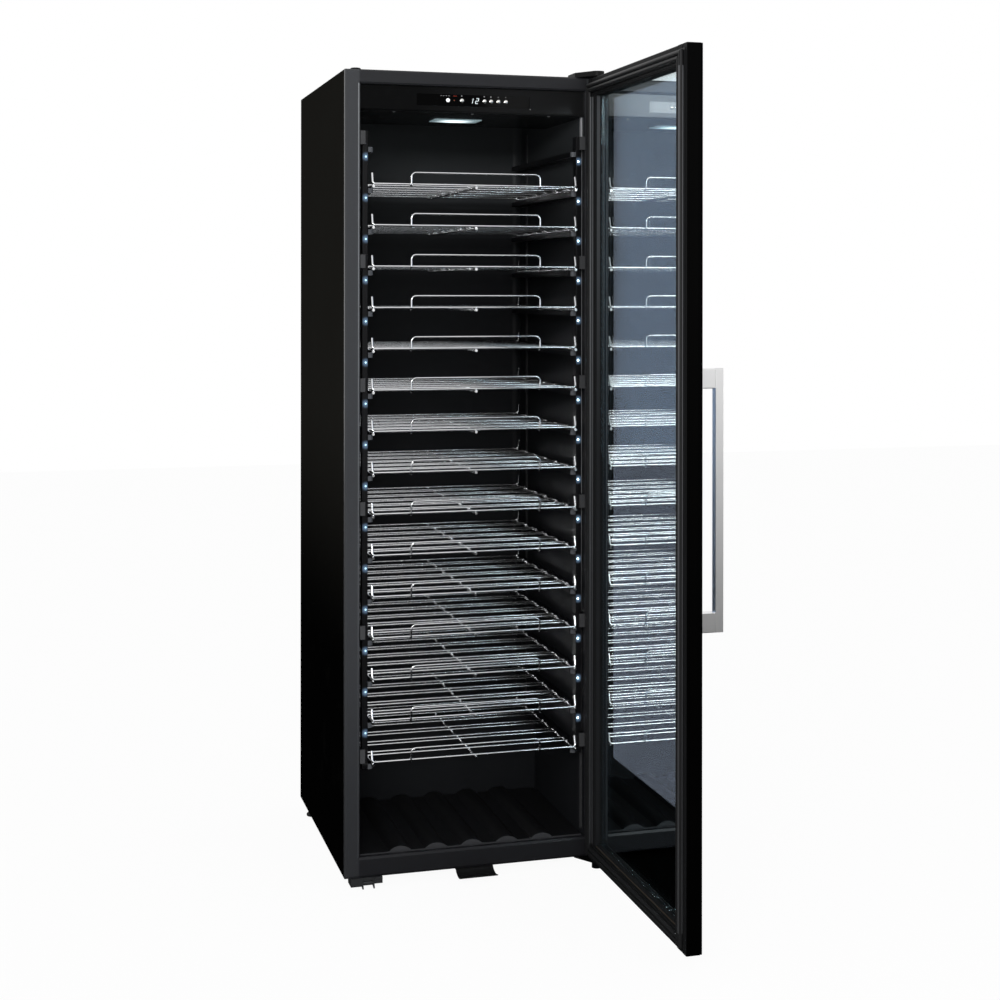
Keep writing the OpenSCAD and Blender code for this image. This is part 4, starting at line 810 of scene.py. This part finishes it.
def crossRecess(mesh, centre, outwards, size, look):
    # sunk-looking cross on a screw's head: four arms with sloping sides
    outwards = Vector(outwards)
    side = outwards.orthogonal().normalized()
    up = outwards.cross(side)
    thin = size * look["arm"]
    outline = [(thin, thin), (thin, size), (-thin, size), (-thin, thin), (-size, thin),
               (-size, -thin), (-thin, -thin), (-thin, -size), (thin, -size), (thin, -thin),
               (size, -thin), (size, thin)]
    rings = []
    for lift, shrink in look["levels"]:
        rings.append([mesh.verts.new(centre + outwards * lift + (side * a + up * b) * shrink)
                      for a, b in outline])
    join(mesh, *rings)
    mesh.faces.new(rings[1])


def atRear(span, look):  # a rear screw is round in X and Z, or longest in Y
    return (span.y > span.x * look["rearLength"]
            or abs(span.x - span.z) < look["rearRound"])


crosses = bmesh.new()
for lowest, highest in islands("screws"):
    middle, span = (lowest + highest) / 2, highest - lowest
    if atRear(span, recessLook):  # rear screws point backwards
        head, outwards, size = (middle.x, highest.y, middle.z), (0, 1, 0), recessLook["size"]
    elif highest.z > high("outer_panels").z:  # hinge screws on the top
        head, outwards, size = (middle.x, middle.y, highest.z), (0, 0, 1), recessLook["hingeSize"]
    else:  # housing screws point down
        head, outwards, size = (middle.x, middle.y, lowest.z), (0, 0, -1), recessLook["size"]
    crossRecess(crosses, Vector(head), outwards, size, recessLook)
piece("screwRecesses", crosses, moulded("recessShadow", recessLook), "cabinet")

# weld beads where the shelf wires cross; levels give height and width of a bead's rings
weldLook = {"radius": 0.0017, "length": 0.0032, "stretch": 1.6, "sides": 6,
            "levels": ((-0.5, 0.55), (-0.2, 1.0), (0.2, 1.0), (0.5, 0.55)),
            "crossLength": 0.4, "runnerLength": 0.3}


def weldBead(mesh, centre, look):
    corners = ring((0, 0), 1, look["sides"])
    rings = []
    for level, reach in look["levels"]:
        width, height = look["length"] * reach, level * look["radius"] * look["stretch"]
        rings.append([mesh.verts.new(centre + Vector((x * width, y * width, height)))
                      for x, y in corners])
    for first, second in zip(rings, rings[1:]):
        join(mesh, first, second)
    mesh.faces.new(rings[0][::-1])
    mesh.faces.new(rings[-1])


for name in shelfNames:
    boxes = islands(name)
    crossWires = [box for box in boxes if box[1].x - box[0].x > weldLook["crossLength"]]
    runners = [box for box in boxes if box[1].y - box[0].y > weldLook["runnerLength"]]
    beads = bmesh.new()
    for wireLow, wireHigh in crossWires:
        y = (wireLow.y + wireHigh.y) / 2
        for runLow, runHigh in runners:
            weldBead(beads, Vector(((runLow.x + runHigh.x) / 2, y, runHigh.z)), weldLook)
    made = piece(name.replace("shelf_", "shelfWelds"), beads, wireFinish, name)
    for face in made.data.polygons:
        face.use_smooth = True
print("small trim done")

# Studio: white to the eye and through glass, the sky white in mirrors but the floor dark there,
# and a quieter light on the object itself
studio = {
    "sky": 0.62, "floorColour": (0.93, 0.93, 0.93), "floorDark": (0.002, 0.002, 0.002),
    "floorShow": 0.95, "floorSize": 9.0, "floorSquares": 8, "aim": (0, 0, 0.9),
    "key": 62.0, "keyPlace": (-1.45, -3.6, 2.24), "keySize": (1.4, 0.5),
    "side": 14.0, "sidePlace": (2.8, -3.0, 1.9), "sideSize": (1.8, 1.8)}
white = (1, 1, 1, 1)
scene = bpy.context.scene


def ray(finish, kind):
    return finish.node("ShaderNodeLightPath", out=f"Is {kind} Ray")


def seenRays(finish):  # 1 for the eye, in mirrors and through glass
    direct = ray(finish, "Camera") + ray(finish, "Glossy")
    settings = {"operation": "ADD", "use_clamp": True}
    return finish.node("ShaderNodeMath", settings, {0: direct, 1: ray(finish, "Transmission")})


worldFinish = Finish("studioWorld", bpy.data.worlds)
skyLevel = worldFinish.node("ShaderNodeMapRange", None, {
    "Value": seenRays(worldFinish), "To Min": studio["sky"], "To Max": 1.0})
sky = worldFinish.node("ShaderNodeBackground", None, {"Color": white, "Strength": skyLevel})
worldFinish.node("ShaderNodeOutputWorld", None, {"Surface": sky})
scene.world = worldFinish.material

floorMesh = bmesh.new()
bmesh.ops.create_grid(floorMesh, x_segments=studio["floorSquares"],
                      y_segments=studio["floorSquares"], size=studio["floorSize"])
floorData = bpy.data.meshes.new("studioFloor")
floorMesh.to_mesh(floorData)
floorMesh.free()
floor = bpy.data.objects.new("studioFloor", floorData)
scene.collection.objects.link(floor)
floorFinish = Finish("paleFloor")
matt = floorFinish.node("ShaderNodeBsdfDiffuse", None, {"Color": (*studio["floorColour"], 1)})
bright = floorFinish.node("ShaderNodeEmission", None, {"Color": white, "Strength": 1.0})
unlit = floorFinish.node("ShaderNodeBsdfDiffuse", None, {"Color": (*studio["floorDark"], 1)})
shown = floorFinish.mix(seenRays(floorFinish) * studio["floorShow"], matt, bright)
floorFinish.show(floorFinish.mix(ray(floorFinish, "Glossy"), shown, unlit))  # dark in mirrors
floorData.materials.append(floorFinish.material)


def softLight(name):
    data = bpy.data.lights.new(f"{name}Light", "AREA")
    data.shape = "RECTANGLE"
    data.size, data.size_y = studio[f"{name}Size"]
    data.energy = studio[name]
    lamp = bpy.data.objects.new(f"{name}Light", data)
    scene.collection.objects.link(lamp)
    place = Vector(studio[f"{name}Place"])
    lamp.location = place
    lamp.rotation_euler = (Vector(studio["aim"]) - place).to_track_quat("-Z", "Y").to_euler()


softLight("key")
softLight("side")

view = {"place": (-0.96257, -3.59586, 1.32593), "yaw": 0.2771, "pitch": -0.0012,
        "roll": 0.0009, "lens": 59.26, "sensor": 36, "shift": (-0.0007, -0.2061)}
cameraData = bpy.data.cameras.new("camera")
cameraData.lens = view["lens"]
cameraData.sensor_width = view["sensor"]
cameraData.shift_x, cameraData.shift_y = view["shift"]
camera = bpy.data.objects.new("camera", cameraData)
scene.collection.objects.link(camera)
camera.matrix_world = (
    Matrix.Translation(view["place"]) @ Matrix.Rotation(-view["yaw"], 4, "Z")
    @ Matrix.Rotation(math.pi / 2 + view["pitch"], 4, "X") @ Matrix.Rotation(view["roll"], 4, "Z"))
scene.camera = camera
scene.view_settings.view_transform = "Standard"
print("studio done")
